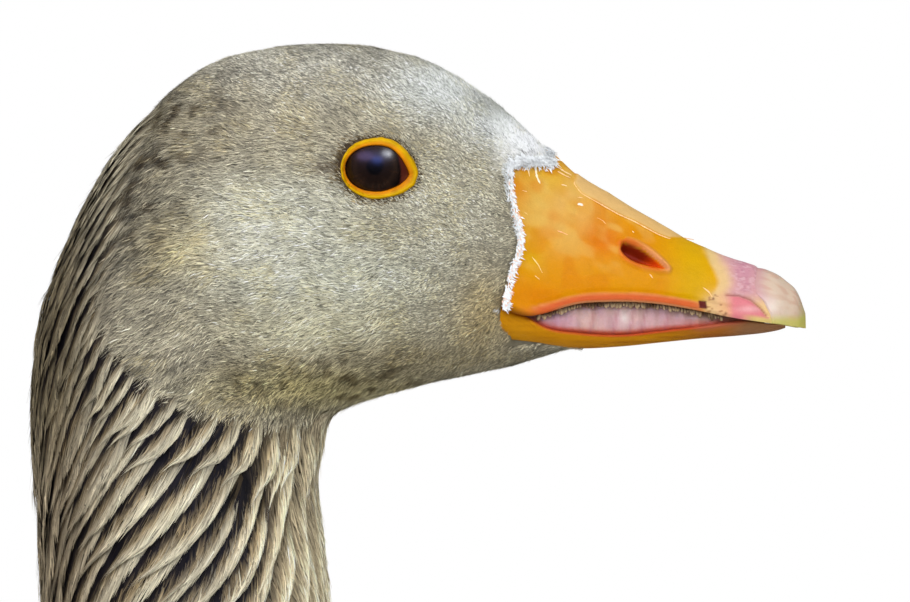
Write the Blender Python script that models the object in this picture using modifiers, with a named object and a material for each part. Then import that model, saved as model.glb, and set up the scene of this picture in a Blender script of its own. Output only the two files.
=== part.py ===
"""A grey domestic goose, life size, standing alert with its neck straight up and its bill level.

Metres, +Z up, bill towards +X, the bird's left towards +Y. The floor is z = 0.
The body is modelled whole, then parted by thin cuts into head, three lengths of neck, trunk and
thighs. Bill, eyes, tongue, tail, folded wings, shanks, feet and claws are pieces of their own.
Profile tables are in millimetres. Those of the head, bill and neck are measured from the eye.
"""

import math

import bmesh
import bpy
import numpy as np
from mathutils import Matrix, Vector
from mathutils.bvhtree import BVHTree

MM = 0.001
GAP = 0.3 * MM  # between neighbouring solids

# ---- Driving dimensions, in millimetres unless a name says otherwise ----
EYE_X = 191.0  # the eye is this far ahead of the hips
EYE_Z = 700.0  # and this high above the floor
EYE_RADIUS = 10.0
EYE_SETTING = 12.0  # the eyeball's centre is this far from the midline

# Head, sliced across: station x, top z, bottom z, half width.
HEAD = [
    (-57.0, 2.0, -38.0, 12.0),
    (-48.0, 14.5, -46.0, 17.5),
    (-38.0, 22.8, -51.0, 20.8),
    (-25.0, 26.8, -53.0, 22.8),
    (-10.0, 28.0, -52.5, 22.9),
    (0.0, 27.2, -49.5, 21.9),
    (13.0, 23.5, -46.2, 19.8),
    (26.0, 15.0, -43.6, 17.2),
    (33.0, 8.9, -41.8, 15.3),
    (38.0, 4.0, -40.2, 13.6),
    (48.0, -5.0, -38.2, 7.0),
]
HEAD_WIDEST = 0.42  # how far up a slice of the head its widest level lies, at the cheeks

# Neck, sliced level: station z, back x, front x, half width.
NECK = [
    (-382.0, -180.0, -11.0, 60.0),
    (-352.0, -172.0, -4.0, 62.0),
    (-330.0, -148.0, -2.0, 59.0),
    (-308.0, -116.0, -3.0, 49.0),
    (-285.0, -96.0, -5.0, 40.0),
    (-250.0, -83.0, -8.0, 33.0),
    (-200.0, -76.0, -10.0, 28.8),
    (-140.0, -72.8, -9.8, 26.8),
    (-92.0, -72.4, -10.2, 26.2),
    (-73.0, -73.8, -12.2, 25.6),
    (-54.0, -75.0, -12.0, 25.3),
    (-41.0, -74.6, -13.0, 25.2),
    (-28.0, -72.4, -13.0, 24.4),
    (-15.0, -67.8, -13.0, 22.8),
    (-2.0, -60.6, -14.0, 19.8),
    (8.0, -54.0, -16.0, 15.5),
    (18.0, -44.0, -22.0, 9.0),
]

# Trunk, sliced across, from the hips: station x, top z, bottom z, half width.
TRUNK = [
    (-236.0, 290.0, 263.0, 33.0),
    (-205.0, 307.0, 232.0, 50.0),
    (-160.0, 329.0, 196.0, 68.0),
    (-100.0, 352.0, 166.0, 83.0),
    (-30.0, 371.0, 150.5, 91.5),
    (40.0, 381.0, 152.0, 92.5),
    (95.0, 379.0, 168.0, 88.5),
    (140.0, 368.0, 198.0, 76.0),
    (170.0, 350.0, 234.0, 58.0),
    (188.0, 326.0, 268.0, 34.0),
    (194.0, 308.0, 288.0, 14.0),
]
TRUNK_WIDEST = 0.5

# Upper bill: station x, culmen z, cutting edge z, half width.
UPPER_BILL = [
    (20.0, 12.0, -31.2, 14.6),
    (32.0, 8.2, -31.5, 14.6),
    (37.4, 3.9, -30.2, 14.4),
    (42.4, -0.7, -28.9, 14.0),
    (48.8, -4.7, -28.4, 13.4),
    (58.5, -10.5, -28.7, 12.2),
    (68.2, -15.8, -30.2, 10.9),
    (76.0, -18.9, -31.8, 9.8),
    (82.0, -21.0, -32.7, 8.9),
    (87.5, -23.9, -33.4, 7.2),
    (90.5, -27.3, -33.9, 4.6),
    (91.8, -31.0, -34.1, 1.8),
]
# Lower bill: station x, rim z, keel z, half width.
LOWER_BILL = [
    (26.8, -32.0, -37.4, 13.2),
    (34.0, -33.6, -37.9, 12.8),
    (43.4, -35.3, -38.5, 12.0),
    (52.0, -35.8, -38.0, 11.0),
    (61.0, -34.9, -37.1, 10.0),
    (70.0, -33.5, -36.2, 8.8),
    (78.0, -32.7, -35.6, 7.4),
    (84.0, -33.5, -34.8, 5.2),
    (86.6, -33.9, -34.6, 3.2),
]
TONGUE_START, TONGUE_END = 31.5, 73.0
TONGUE_INSET = 1.3
BILL_BASE = ((37.6, 4.4), (26.0, -31.0))  # x, z at the top and foot of the bill's root
NAIL_BACK = ((79.2, -19.5), (87.2, -33.6))  # x, z at the top and foot of the nail's back edge
CHIN = ((26.2, -37.8), (48.0, -38.9))  # the feathered chin lies under this line
NOSTRIL = (56.3, -18.2)
NOSTRIL_SIZE = (5.0, 3.2, 2.0)  # half length, depth, half height
NOSTRIL_TILT = 28.0  # degrees, down towards the tip

# Cuts that part the body. Each is two points on the plane in x and z.
THROAT_CUT = ((-11.5, -53.5), (-68.0, -18.0))  # from the eye
NECK_CUTS = (-125.0, -215.0)  # level, from the eye
BREAST_CUT = ((55.0, 389.0), (192.0, 346.0))  # from the hips
TAIL_CUT = -226.0
THIGH_CUT = 147.0
HOCK_CUT = 108.0

# Tail fan: station x, top z, bottom z, half width.
TAIL = [
    (-226.3, 291.5, 259.0, 37.0),
    (-245.0, 281.5, 261.0, 42.0),
    (-275.0, 271.5, 261.0, 49.0),
    (-305.0, 266.5, 260.5, 54.0),
    (-330.0, 263.0, 259.5, 54.0),
]
TAIL_ROUNDING = 13.0  # the middle feathers reach this much further back

# Folded wing, sliced across: station x, lower edge and upper edge in degrees round the trunk
# (0 is the side, 90 the back), thickness.
WING = [
    (118.0, 8.0, 34.0, 6.0),
    (100.0, -8.0, 50.0, 11.0),
    (60.0, -20.0, 63.0, 14.0),
    (0.0, -25.0, 70.0, 15.0),
    (-60.0, -23.0, 73.0, 15.0),
    (-120.0, -17.0, 76.0, 14.0),
    (-180.0, -9.0, 77.0, 12.0),
    (-225.0, -2.0, 77.0, 10.0),
    (-265.0, 4.0, 72.0, 8.0),
    (-308.0, 12.0, 62.0, 4.0),
]
WING_EDGE = 1.6  # thickness left at its edges
WING_CLEARANCE = 1.5  # from the trunk, so that the facets stay clear
WING_FEELERS = [(dx, turn) for dx in (-10, 0, 10) for turn in (-0.1, 0, 0.1)]  # mm, radians
WING_CUTS = (-40.0, -205.0)  # coverts, secondaries and primaries
# What the wing tips would lie on, past the end of the trunk: station x, top, bottom, half width.
WING_REST = [
    (-236.0, 301.0, 279.0, 36.0),
    (-262.0, 299.0, 279.0, 31.0),
    (-308.0, 291.0, 277.0, 18.0),
]

# Legs
LEG_SPREAD = 57.0  # half the distance between the legs
THIGH_TOP = (12.0, 50.0, 205.0)
THIGH_TOP_RADIUS = 38.0
THIGH_FOOT_RADIUS = 10.5
HOCK = (-25.0, LEG_SPREAD, 100.0)
ANKLE = (-3.0, LEG_SPREAD + 2.0, 14.3)
# Shank: share of the way down, half depth, half width.
SHANK = [
    (0.0, 9.4, 8.6),
    (0.1, 9.0, 8.2),
    (0.28, 6.8, 6.2),
    (0.6, 6.3, 5.6),
    (0.85, 6.9, 6.0),
    (1.0, 7.4, 6.8),
]
# Toes: angle out from straight ahead, in degrees (+ is inwards), and length.
TOES = {"outer": (-29.0, 71.0), "middle": (0.0, 82.0), "inner": (30.0, 62.0)}
TOE_HEIGHT = 6.4
TOE_HALF_WIDTH = 3.7
WEB_THICKNESS = 1.6
WEB_LINES = (0.27, 0.5, 0.73)  # where the lines across a web lie
WEB_SCALLOP = 0.17  # how deep the web's front edge curves in between two toes
HEEL_HALF_WIDTH = 7.4
HEEL_REACH = 8.0
HEEL_HEIGHT = 13.8
CLAW_LENGTH = 9.0
CLAW_RADIUS = 2.0
HIND_TOE = ((-9.5, -8.6, 15.0), (-23.0, -12.5, 4.4))  # from the ankle's foot, root and tip
HIND_TOE_RADII = (3.3, 2.3)

# How the whole body is skinned
VOXEL = 2.4
SMOOTHING_ROUNDS = 8
BODY_FACES = 1250  # of the half body, before it is mirrored
HEAD_COARSENESS = 0.99  # how readily faces go from the head, against 1 below it
HEAD_FOOT = -60.0  # from the eye

PLUMAGE = ("plumage_grey", (0.40, 0.36, 0.28), 0.85)
WHITE_PLUMAGE = ("plumage_white", (0.82, 0.80, 0.74), 0.85)
DARK_PLUMAGE = ("plumage_dark", (0.13, 0.11, 0.09), 0.75)
BILL = ("bill_orange", (0.80, 0.33, 0.02), 0.35)
NAIL = ("nail_cream", (0.80, 0.63, 0.50), 0.35)
MOUTH = ("mouth_pink", (0.72, 0.40, 0.34), 0.4)
EYE = ("eye_brown", (0.03, 0.015, 0.008), 0.05)
LEG = ("leg_orange", (0.76, 0.30, 0.04), 0.5)
CLAW = ("claw_horn", (0.10, 0.08, 0.07), 0.4)


# ---- Helpers ----
def clear_scene():
    for old in list(bpy.data.objects):
        bpy.data.objects.remove(old)


def make_collection(name):
    made = bpy.data.collections.new(name)
    bpy.context.scene.collection.children.link(made)
    return made


def finish_material(finish):
    """The Principled material of a finish, made once."""
    name, colour, roughness = finish
    found = bpy.data.materials.get(name)
    if found:
        return found
    made = bpy.data.materials.new(name)
    made.use_nodes = True
    shader = made.node_tree.nodes["Principled BSDF"]
    shader.inputs["Base Color"].default_value = (*colour, 1.0)
    shader.inputs["Roughness"].default_value = roughness
    shader.inputs["Metallic"].default_value = 0.0
    return made


def smooth_table(table):
    """A smooth function through a table: the first column is the station, the rest are sizes there."""
    rows = np.array(table, float)
    rows = rows[np.argsort(rows[:, 0])]
    at, sizes = rows[:, 0], rows[:, 1:]
    slopes = np.gradient(sizes, at, axis=0)

    def sizes_at(station):
        station = min(max(station, at[0]), at[-1])
        i = min(max(int(np.searchsorted(at, station)) - 1, 0), len(at) - 2)
        run = at[i + 1] - at[i]
        t = (station - at[i]) / run
        return (
            (2 * t**3 - 3 * t**2 + 1) * sizes[i]
            + (t**3 - 2 * t**2 + t) * run * slopes[i]
            + (3 * t**2 - 2 * t**3) * sizes[i + 1]
            + (t**3 - t**2) * run * slopes[i + 1]
        )

    return sizes_at


def stations_of(table, step):
    """Evenly spaced stations over a table, closer together where its ends round off."""
    low, high = min(r[0] for r in table), max(r[0] for r in table)
    count = max(4, int((high - low) / step))
    even = np.linspace(0, 1, count)
    eased = (1 - np.cos(np.pi * even)) / 2
    return low + (high - low) * (0.5 * even + 0.5 * eased)


def signed_power(value, power):
    return math.copysign(abs(value) ** power, value)


def oval(half_width, top, bottom, widest, count, squareness=2.0):
    """(y, z) points round a slice whose widest level lies between its top and its bottom."""
    level = bottom + widest * (top - bottom)
    points = []
    for k in range(count):
        angle = 2 * math.pi * k / count
        across = signed_power(math.cos(angle), 2 / squareness)
        up = signed_power(math.sin(angle), 2 / squareness)
        reach = top - level if up > 0 else level - bottom
        points.append((half_width * across, level + reach * up))
    return points


def mesh_of_rings(rings):
    """A closed bmesh through rings of points in millimetres, with its two ends filled."""
    count = len(rings[0])
    made = bmesh.new()
    verts = [[made.verts.new(Vector(p) * MM) for p in ring] for ring in rings]
    for here, following in zip(verts, verts[1:]):
        for k in range(count):
            n = (k + 1) % count
            made.faces.new((here[k], here[n], following[n], following[k]))
    made.faces.new(list(reversed(verts[0])))
    made.faces.new(verts[-1])
    bmesh.ops.recalc_face_normals(made, faces=made.faces)
    return made


def add_object(name, built, finish, collection, parent=None):
    """Turns a bmesh into a named object with its material, shaded smooth, and frees the bmesh."""
    data = bpy.data.meshes.new(name)
    built.to_mesh(data)
    built.free()
    data.materials.append(finish_material(finish))
    data.shade_smooth()
    data.set_sharp_from_angle(angle=math.radians(40))
    made = bpy.data.objects.new(name, data)
    collection.objects.link(made)
    made.parent = parent
    return made


def hide_helper(helper):
    helper.hide_render = True
    helper.display_type = "WIRE"


def cut_away(target, cutter):
    """A Boolean that takes the cutter away from the target."""
    hide_helper(cutter)
    cut = target.modifiers.new("cut_" + cutter.name, "BOOLEAN")
    cut.operation = "DIFFERENCE"
    cut.solver = "EXACT"
    cut.object = cutter
    return cut


def keep_side(built, point, normal):
    """Cuts a bmesh by a plane, keeps what the normal points to, and fills the cut."""
    geometry = list(built.verts) + list(built.edges) + list(built.faces)
    cut = bmesh.ops.bisect_plane(
        built, geom=geometry, plane_co=point, plane_no=normal, clear_inner=True
    )
    edges = [e for e in cut["geom_cut"] if isinstance(e, bmesh.types.BMEdge)]
    bmesh.ops.holes_fill(built, edges=edges)
    bmesh.ops.recalc_face_normals(built, faces=built.faces)


def side_plane(line, origin_x, origin_z):
    """A plane that stands across the bird, through two (x, z) points: a point and its upward normal."""
    (xa, za), (xb, zb) = line
    along = Vector((xb - xa, 0, zb - za))
    normal = along.cross(Vector((0, 1, 0))).normalized()
    if normal.z < 0:
        normal = -normal
    return Vector((origin_x + xa, 0, origin_z + za)) * MM, normal


# ---- The body, whole ----
def head_rings():
    sizes_at = smooth_table(HEAD)
    rings = []
    for x in stations_of(HEAD, 4.0):
        top, bottom, half_width = sizes_at(x)
        slice_points = oval(half_width, top, bottom, HEAD_WIDEST, 40, 2.05)
        rings.append([(EYE_X + x, y, EYE_Z + z) for y, z in slice_points])
    return rings


def neck_rings():
    sizes_at = smooth_table(NECK)
    rings = []
    for z in stations_of(NECK, 9.0):
        back, front, half_width = sizes_at(z)
        middle, half = (back + front) / 2, (front - back) / 2
        ring = []
        for k in range(48):
            angle = 2 * math.pi * k / 48
            x = EYE_X + middle + half * math.cos(angle)
            ring.append((x, half_width * math.sin(angle), EYE_Z + z))
        rings.append(ring)
    return rings


def trunk_rings():
    sizes_at = smooth_table(TRUNK)
    rings = []
    for x in stations_of(TRUNK, 9.0):
        top, bottom, half_width = sizes_at(x)
        slice_points = oval(half_width, top, bottom, TRUNK_WIDEST, 64, 2.15)
        rings.append([(x, y, z) for y, z in slice_points])
    return rings


def thigh_rings(side):
    """A drumstick from inside the belly to the hock."""
    top, foot = Vector(THIGH_TOP), Vector(HOCK)
    rings = []
    for share in np.linspace(0, 1, 12):
        centre = top.lerp(foot, share)
        ease = share**0.8
        radius = THIGH_TOP_RADIUS * (1 - ease) + THIGH_FOOT_RADIUS * ease
        ring = []
        for k in range(24):
            angle = 2 * math.pi * k / 24
            x = centre.x + radius * math.cos(angle)
            y = centre.y + 0.85 * radius * math.sin(angle)
            ring.append((x, side * y, centre.z))
        rings.append(ring)
    return rings


def whole_body():
    """Head, neck, trunk and thighs as one smooth closed skin, the same on both sides."""
    joined = bmesh.new()
    for rings in (head_rings(), neck_rings(), trunk_rings(), thigh_rings(1), thigh_rings(-1)):
        part = mesh_of_rings(rings)
        data = bpy.data.meshes.new("form")
        part.to_mesh(data)
        part.free()
        joined.from_mesh(data)
        bpy.data.meshes.remove(data)
    data = bpy.data.meshes.new("body_form")
    joined.to_mesh(data)
    joined.free()
    form = bpy.data.objects.new("body_form", data)
    bpy.context.scene.collection.objects.link(form)
    remesh = form.modifiers.new("skin", "REMESH")
    remesh.mode = "VOXEL"
    remesh.voxel_size = VOXEL * MM
    smooth = form.modifiers.new("smooth", "SMOOTH")
    smooth.factor = 0.5
    smooth.iterations = SMOOTHING_ROUNDS
    skinned = bpy.data.meshes.new_from_object(
        form.evaluated_get(bpy.context.evaluated_depsgraph_get())
    )
    bpy.data.objects.remove(form)
    return thinned_half(skinned)


def thinned_half(skinned):
    """One half of the skin with fewer faces, mirrored to a whole again."""
    half = bmesh.new()
    half.from_mesh(skinned)
    geometry = list(half.verts) + list(half.edges) + list(half.faces)
    bmesh.ops.bisect_plane(
        half, geom=geometry, plane_co=(0, 0, 0), plane_no=(0, 1, 0), clear_inner=True
    )
    bmesh.ops.triangulate(half, faces=half.faces)
    half.to_mesh(skinned)
    share = BODY_FACES / len(half.faces)
    half.free()
    holder = bpy.data.objects.new("half_form", skinned)
    bpy.context.scene.collection.objects.link(holder)
    heed = holder.vertex_groups.new(name="coarse")
    for vert in skinned.vertices:
        low = vert.co.z < (EYE_Z + HEAD_FOOT) * MM
        heed.add([vert.index], 1.0 if low else HEAD_COARSENESS, "REPLACE")
    thin = holder.modifiers.new("thin", "DECIMATE")
    thin.ratio = share
    thin.vertex_group = "coarse"
    mirror = holder.modifiers.new("both_sides", "MIRROR")
    mirror.use_axis = (False, True, False)
    mirror.use_bisect_axis = (False, True, False)
    mirror.use_clip = True
    mirror.merge_threshold = 0.0001
    whole = bmesh.new()
    whole.from_mesh(
        holder.evaluated_get(bpy.context.evaluated_depsgraph_get()).to_mesh()
    )
    bpy.data.objects.remove(holder)
    bmesh.ops.holes_fill(whole, edges=[e for e in whole.edges if e.is_boundary])
    bmesh.ops.triangulate(whole, faces=whole.faces)
    bmesh.ops.recalc_face_normals(whole, faces=whole.faces)
    return whole


def part_body(body, collection, parent):
    """Parts the whole body by thin cuts, and returns its pieces by name."""
    throat, up_head = side_plane(THROAT_CUT, EYE_X, EYE_Z)
    breast, up_breast = side_plane(BREAST_CUT, 0, 0)
    up = Vector((0, 0, 1))
    back = Vector((-1, 0, 0))
    upper, lower = (Vector((0, 0, EYE_Z + z)) * MM for z in NECK_CUTS)
    thigh, hock = (Vector((0, 0, z)) * MM for z in (THIGH_CUT, HOCK_CUT))
    tail = Vector((TAIL_CUT, 0, 0)) * MM
    slabs = {
        "head": [(throat, up_head)],
        "neck_upper": [(throat, -up_head), (upper, up)],
        "neck_middle": [(upper, -up), (lower, up)],
        "neck_lower": [(lower, -up), (breast, up_breast)],
        "trunk": [(breast, -up_breast), (thigh, up), (tail, -back)],
        "thigh_left": [(thigh, -up), (hock, up), (Vector(), Vector((0, 1, 0)))],
        "thigh_right": [(thigh, -up), (hock, up), (Vector(), Vector((0, -1, 0)))],
    }
    made = {}
    for name, planes in slabs.items():
        piece = body.copy()
        for point, normal in planes:
            keep_side(piece, point + normal * GAP / 2, normal)
        made[name] = add_object(name, piece, PLUMAGE, collection, parent)
    return made


# ---- Head ----
def make_eyes(collection, cutters, parent, head):
    """Two round eyeballs, each in a socket that opens at the side of the head."""
    for name, side in (("eye_left", 1), ("eye_right", -1)):
        place = Vector((EYE_X, side * EYE_SETTING, EYE_Z)) * MM
        ball = bmesh.new()
        bmesh.ops.create_uvsphere(ball, u_segments=16, v_segments=10, radius=EYE_RADIUS * MM)
        eye = add_object(name, ball, EYE, collection, parent)
        eye.location = place
        eye.rotation_euler.x = math.radians(90)
        socket = bmesh.new()
        bmesh.ops.create_uvsphere(
            socket, u_segments=16, v_segments=10, radius=(EYE_RADIUS + 0.5) * MM
        )
        cutter = add_object("socket_" + name, socket, EYE, cutters, parent)
        cutter.location = place
        cutter.rotation_euler.x = math.radians(90)
        cut_away(head, cutter)


def bill_arch(half_width, top, foot, count=16):
    """(y, z) points over a bill's roof, from one cutting edge to the other, a little peaked."""
    points = []
    for k in range(count + 1):
        angle = math.pi * k / count
        across = signed_power(math.cos(angle), 2 / 1.9)
        up = abs(math.sin(angle)) ** (2 / 1.75)
        points.append((half_width * across, foot + (top - foot) * up))
    return points


def upper_bill_rings():
    sizes_at = smooth_table(UPPER_BILL)
    rings = []
    for x in stations_of(UPPER_BILL, 5.0):
        culmen, edge, half_width = sizes_at(x)
        arch = bill_arch(half_width, culmen, edge)
        rings.append([(EYE_X + x, y, EYE_Z + z) for y, z in arch])
    return rings


def make_upper_bill(collection, cutters, parent):
    """The upper bill behind its nail, with two nostrils sunk into it, and the nail."""
    base, up_head = side_plane(BILL_BASE, EYE_X, EYE_Z)
    nail, up_nail = side_plane(NAIL_BACK, EYE_X, EYE_Z)
    forward = up_head if up_head.x > 0 else -up_head
    ahead = up_nail if up_nail.x > 0 else -up_nail
    bill = mesh_of_rings(upper_bill_rings())
    tip = bill.copy()
    keep_side(bill, base + forward * GAP / 2, forward)
    keep_side(bill, nail - ahead * GAP / 2, -ahead)
    keep_side(tip, nail + ahead * GAP / 2, ahead)
    upper = add_object("bill_upper", bill, BILL, collection, parent)
    add_object("bill_nail", tip, NAIL, collection, parent)
    culmen, edge, half_width = smooth_table(UPPER_BILL)(NOSTRIL[0])
    height = (NOSTRIL[1] - edge) / (culmen - edge)
    face = half_width * (1 - height**1.75) ** (1 / 1.9)
    for name, side in (("nostril_left", 1), ("nostril_right", -1)):
        hollow = bmesh.new()
        bmesh.ops.create_uvsphere(hollow, u_segments=12, v_segments=8, radius=1.0)
        bmesh.ops.scale(hollow, vec=Vector(NOSTRIL_SIZE) * MM, verts=hollow.verts)
        cutter = add_object(name, hollow, BILL, cutters, parent)
        cutter.location = Vector((EYE_X + NOSTRIL[0], side * face, EYE_Z + NOSTRIL[1])) * MM
        cutter.rotation_euler.y = math.radians(NOSTRIL_TILT)
        cut_away(upper, cutter)
    return upper


def make_lower_bill(collection, parent):
    """The lower bill, a shallow scoop."""
    sizes_at = smooth_table(LOWER_BILL)
    rings = []
    for x in stations_of(LOWER_BILL, 6.0):
        rim, keel, half_width = sizes_at(x)
        ring = []
        for k in range(13):
            angle = math.pi * k / 12
            y = half_width * signed_power(math.cos(angle), 0.8)
            ring.append((EYE_X + x, y, EYE_Z + rim - (rim - keel) * math.sin(angle) ** 0.75))
        rings.append(ring)
    add_object("bill_lower", mesh_of_rings(rings), BILL, collection, parent)


def make_tongue(collection, parent):
    """The fleshy tongue that shows in the gape between the two halves of the bill."""
    upper_at, lower_at = smooth_table(UPPER_BILL), smooth_table(LOWER_BILL)
    rings = []
    for x in np.linspace(TONGUE_START, TONGUE_END, 9):
        top = upper_at(x)[1] - 0.35
        foot = lower_at(x)[0] + 0.35
        half_width = lower_at(x)[2] - TONGUE_INSET
        points = oval(half_width, top, foot, 0.5, 12, 4.0)
        rings.append([(EYE_X + x, y, EYE_Z + z) for y, z in points])
    add_object("tongue", mesh_of_rings(rings), MOUTH, collection, parent)


def open_head_for_bill(head, cutters, parent):
    """Takes the bill's place out of the head: ahead of the bill's root and above the chin."""
    (top_x, top_z), (foot_x, foot_z) = BILL_BASE
    run, rise = top_x - foot_x, top_z - foot_z
    outline = [
        (top_x + run, top_z + rise),
        (foot_x - GAP / 2 / MM, foot_z),
        CHIN[0],
        CHIN[1],
        (CHIN[1][0] + 20, CHIN[1][1]),
        (CHIN[1][0] + 20, top_z + rise),
    ]
    wide = 2 * HEAD[4][3]
    rings = [[(EYE_X + x, side * wide, EYE_Z + z) for x, z in outline] for side in (-1, 1)]
    cutter = add_object("bill_place", mesh_of_rings(rings), BILL, cutters, parent)
    cut_away(head, cutter)


# ---- Tail and wings ----
def make_tail(collection, parent):
    """The closed fan of tail feathers, thin at its end and rounded behind."""
    sizes_at = smooth_table(TAIL)
    first, last = TAIL[0][0], TAIL[-1][0]
    rings = []
    for x in np.linspace(first, last, 6):
        top, bottom, half_width = sizes_at(x)
        done = (first - x) / (first - last)
        ring = []
        for y, z in oval(half_width, top, bottom, 0.5, 20, 2.4):
            rounding = TAIL_ROUNDING * done * (1 - (y / half_width) ** 2)
            droop = 4.0 * done * (y / half_width) ** 2
            ring.append((x - rounding, y, z - droop))
        rings.append(ring)
    add_object("tail", mesh_of_rings(rings), PLUMAGE, collection, parent)


def wing_bed(body):
    """A function that gives, for a station and an angle, the axis, direction and distance of the
    surface that a folded wing lies on: the trunk, or past its end the wing's own rest."""
    trunk_at, rest_at = smooth_table(TRUNK), smooth_table(WING_REST)
    surface = BVHTree.FromBMesh(body)

    def bed(x, angle):
        behind = x < TRUNK[0][0] + 4
        top, bottom, half_width = (rest_at if behind else trunk_at)(x)
        level = (top + bottom) / 2
        reach = (top - bottom) / 2
        centre = Vector((x, 0, level))
        across, up = half_width * math.cos(angle), reach * math.sin(angle)
        direction = Vector((0, across, up)).normalized()
        distance = math.hypot(across, up)
        if not behind:
            inside = centre * MM
            hit = surface.ray_cast(inside, direction)
            if hit[0] is not None:
                distance = (hit[0] - inside).length / MM
        return centre, direction, distance

    return bed


def wing_rings(bed, side, across=9):
    """Slices of a folded wing: its inner side lies on the bed, its outer side swells over it."""
    sizes_at = smooth_table(WING)
    rings = []
    for x in np.linspace(WING[0][0], WING[-1][0], 18):
        low, high, thickness = sizes_at(x)
        inner, outer = [], []
        for share in np.linspace(0, 1, across):
            angle = math.radians(low + (high - low) * share)
            centre, direction, _ = bed(x, angle)
            distance = max(bed(x + dx, angle + turn)[2] for dx, turn in WING_FEELERS)
            swell = math.sin(math.pi * share) ** 0.6 if 0 < share < 1 else 0
            depth = WING_EDGE + (thickness - WING_EDGE) * swell
            near = centre + direction * (distance + WING_CLEARANCE)
            far = centre + direction * (distance + WING_CLEARANCE + depth)
            inner.append((near.x, side * near.y, near.z))
            outer.append((far.x, side * far.y, far.z))
        rings.append(inner + outer[::-1])
    return rings


def make_wings(body, collection, parent):
    """Each folded wing in three lengths: coverts, secondaries and primaries."""
    bed = wing_bed(body)
    first, second = (Vector((x, 0, 0)) * MM for x in WING_CUTS)
    forward = Vector((1, 0, 0))
    lengths = {
        "coverts": ([(first, forward)], PLUMAGE),
        "secondaries": ([(first, -forward), (second, forward)], PLUMAGE),
        "primaries": ([(second, -forward)], DARK_PLUMAGE),
    }
    for name, side in (("left", 1), ("right", -1)):
        whole = mesh_of_rings(wing_rings(bed, side))
        for length, (planes, finish) in lengths.items():
            piece = whole.copy()
            for point, normal in planes:
                keep_side(piece, point + normal * GAP / 2, normal)
            add_object(f"wing_{name}_{length}", piece, finish, collection, parent)
        whole.free()


# ---- Legs ----
def make_shank(name, side, collection, parent):
    """The bare scaly shank from the hock down to the foot, cut level at both ends."""
    top, foot = Vector(HOCK), Vector(ANKLE)
    sizes_at = smooth_table(SHANK)
    rings = []
    for share in np.linspace(0, 1, 9):
        depth, width = sizes_at(share)
        centre = top.lerp(foot, share)
        if share == 0:
            centre.z = HOCK_CUT - GAP / MM
        ring = []
        for k in range(12):
            angle = 2 * math.pi * k / 12
            x, y = depth * math.cos(angle), width * math.sin(angle)
            ring.append((centre.x + x, side * (centre.y + y), centre.z))
        rings.append(ring)
    add_object(name, mesh_of_rings(rings), LEG, collection, parent)


def foot_columns():
    """The lines that fan out from the heel, each an angle in degrees and a step aside in mm: three
    along each toe and three across each web."""
    toes = sorted(angle for angle, _ in TOES.values())
    columns = []
    for here, following in zip(toes, toes[1:] + [None]):
        columns += [(here, -TOE_HALF_WIDTH), (here, 0.0), (here, TOE_HALF_WIDTH)]
        if following is not None:
            columns += [(here + (following - here) * share, 0.0) for share in WEB_LINES]
    return columns


def foot_reach(turn):
    """How far the foot reaches at an angle: the web curves in between two toes."""
    toes = sorted(TOES.values())
    for (low, near), (high, far) in zip(toes, toes[1:]):
        if turn <= high:
            break
    share = min(max((turn - low) / (high - low), 0), 1)
    scallop = 1 - WEB_SCALLOP * math.sin(math.pi * share) ** 0.7 if 0 < share < 1 else 1
    return (near * (1 - share) + far * share) * scallop


def foot_height(x, y, distance):
    """The foot's height at a point: web, a ridge along each toe, and the heel under the shank."""
    ridge = 0.0
    for angle, length in TOES.values():
        turn = math.radians(angle)
        off = abs(-x * math.sin(turn) + y * math.cos(turn)) / TOE_HALF_WIDTH
        taper = 1 - 0.25 * min(distance / length, 1) - 0.2 * min(distance / length, 1) ** 6
        ridge = max(ridge, TOE_HEIGHT * taper * math.exp(-1.3 * off**2))
    heel = 1.6 * HEEL_HEIGHT * math.exp(-((math.hypot(x, y) / 10.5) ** 2))
    return min(WEB_THICKNESS + max(ridge, heel), HEEL_HEIGHT)


def foot_grid(rows=10):
    """Rows of (x, y, height) from the heel out to the web's edge, along the foot's columns."""
    columns = foot_columns()
    grid = []
    for i in range(rows):
        out = i / (rows - 1)
        row = []
        for j, (turn, aside) in enumerate(columns):
            share = 2 * j / (len(columns) - 1) - 1
            distance = out * (foot_reach(turn) - 0.5 * abs(aside))
            fade = (1 - out) ** 3
            aside *= min(1, distance / 20)
            side_step = HEEL_HALF_WIDTH * math.sin(math.pi / 2 * share) * fade
            back_step = HEEL_REACH * math.cos(math.pi / 2 * share) * fade
            along = math.radians(turn)
            x = distance * math.cos(along) - aside * math.sin(along) - back_step
            y = distance * math.sin(along) + aside * math.cos(along) + side_step
            row.append((x, y, foot_height(x, y, distance)))
        grid.append(row)
    return grid


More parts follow.
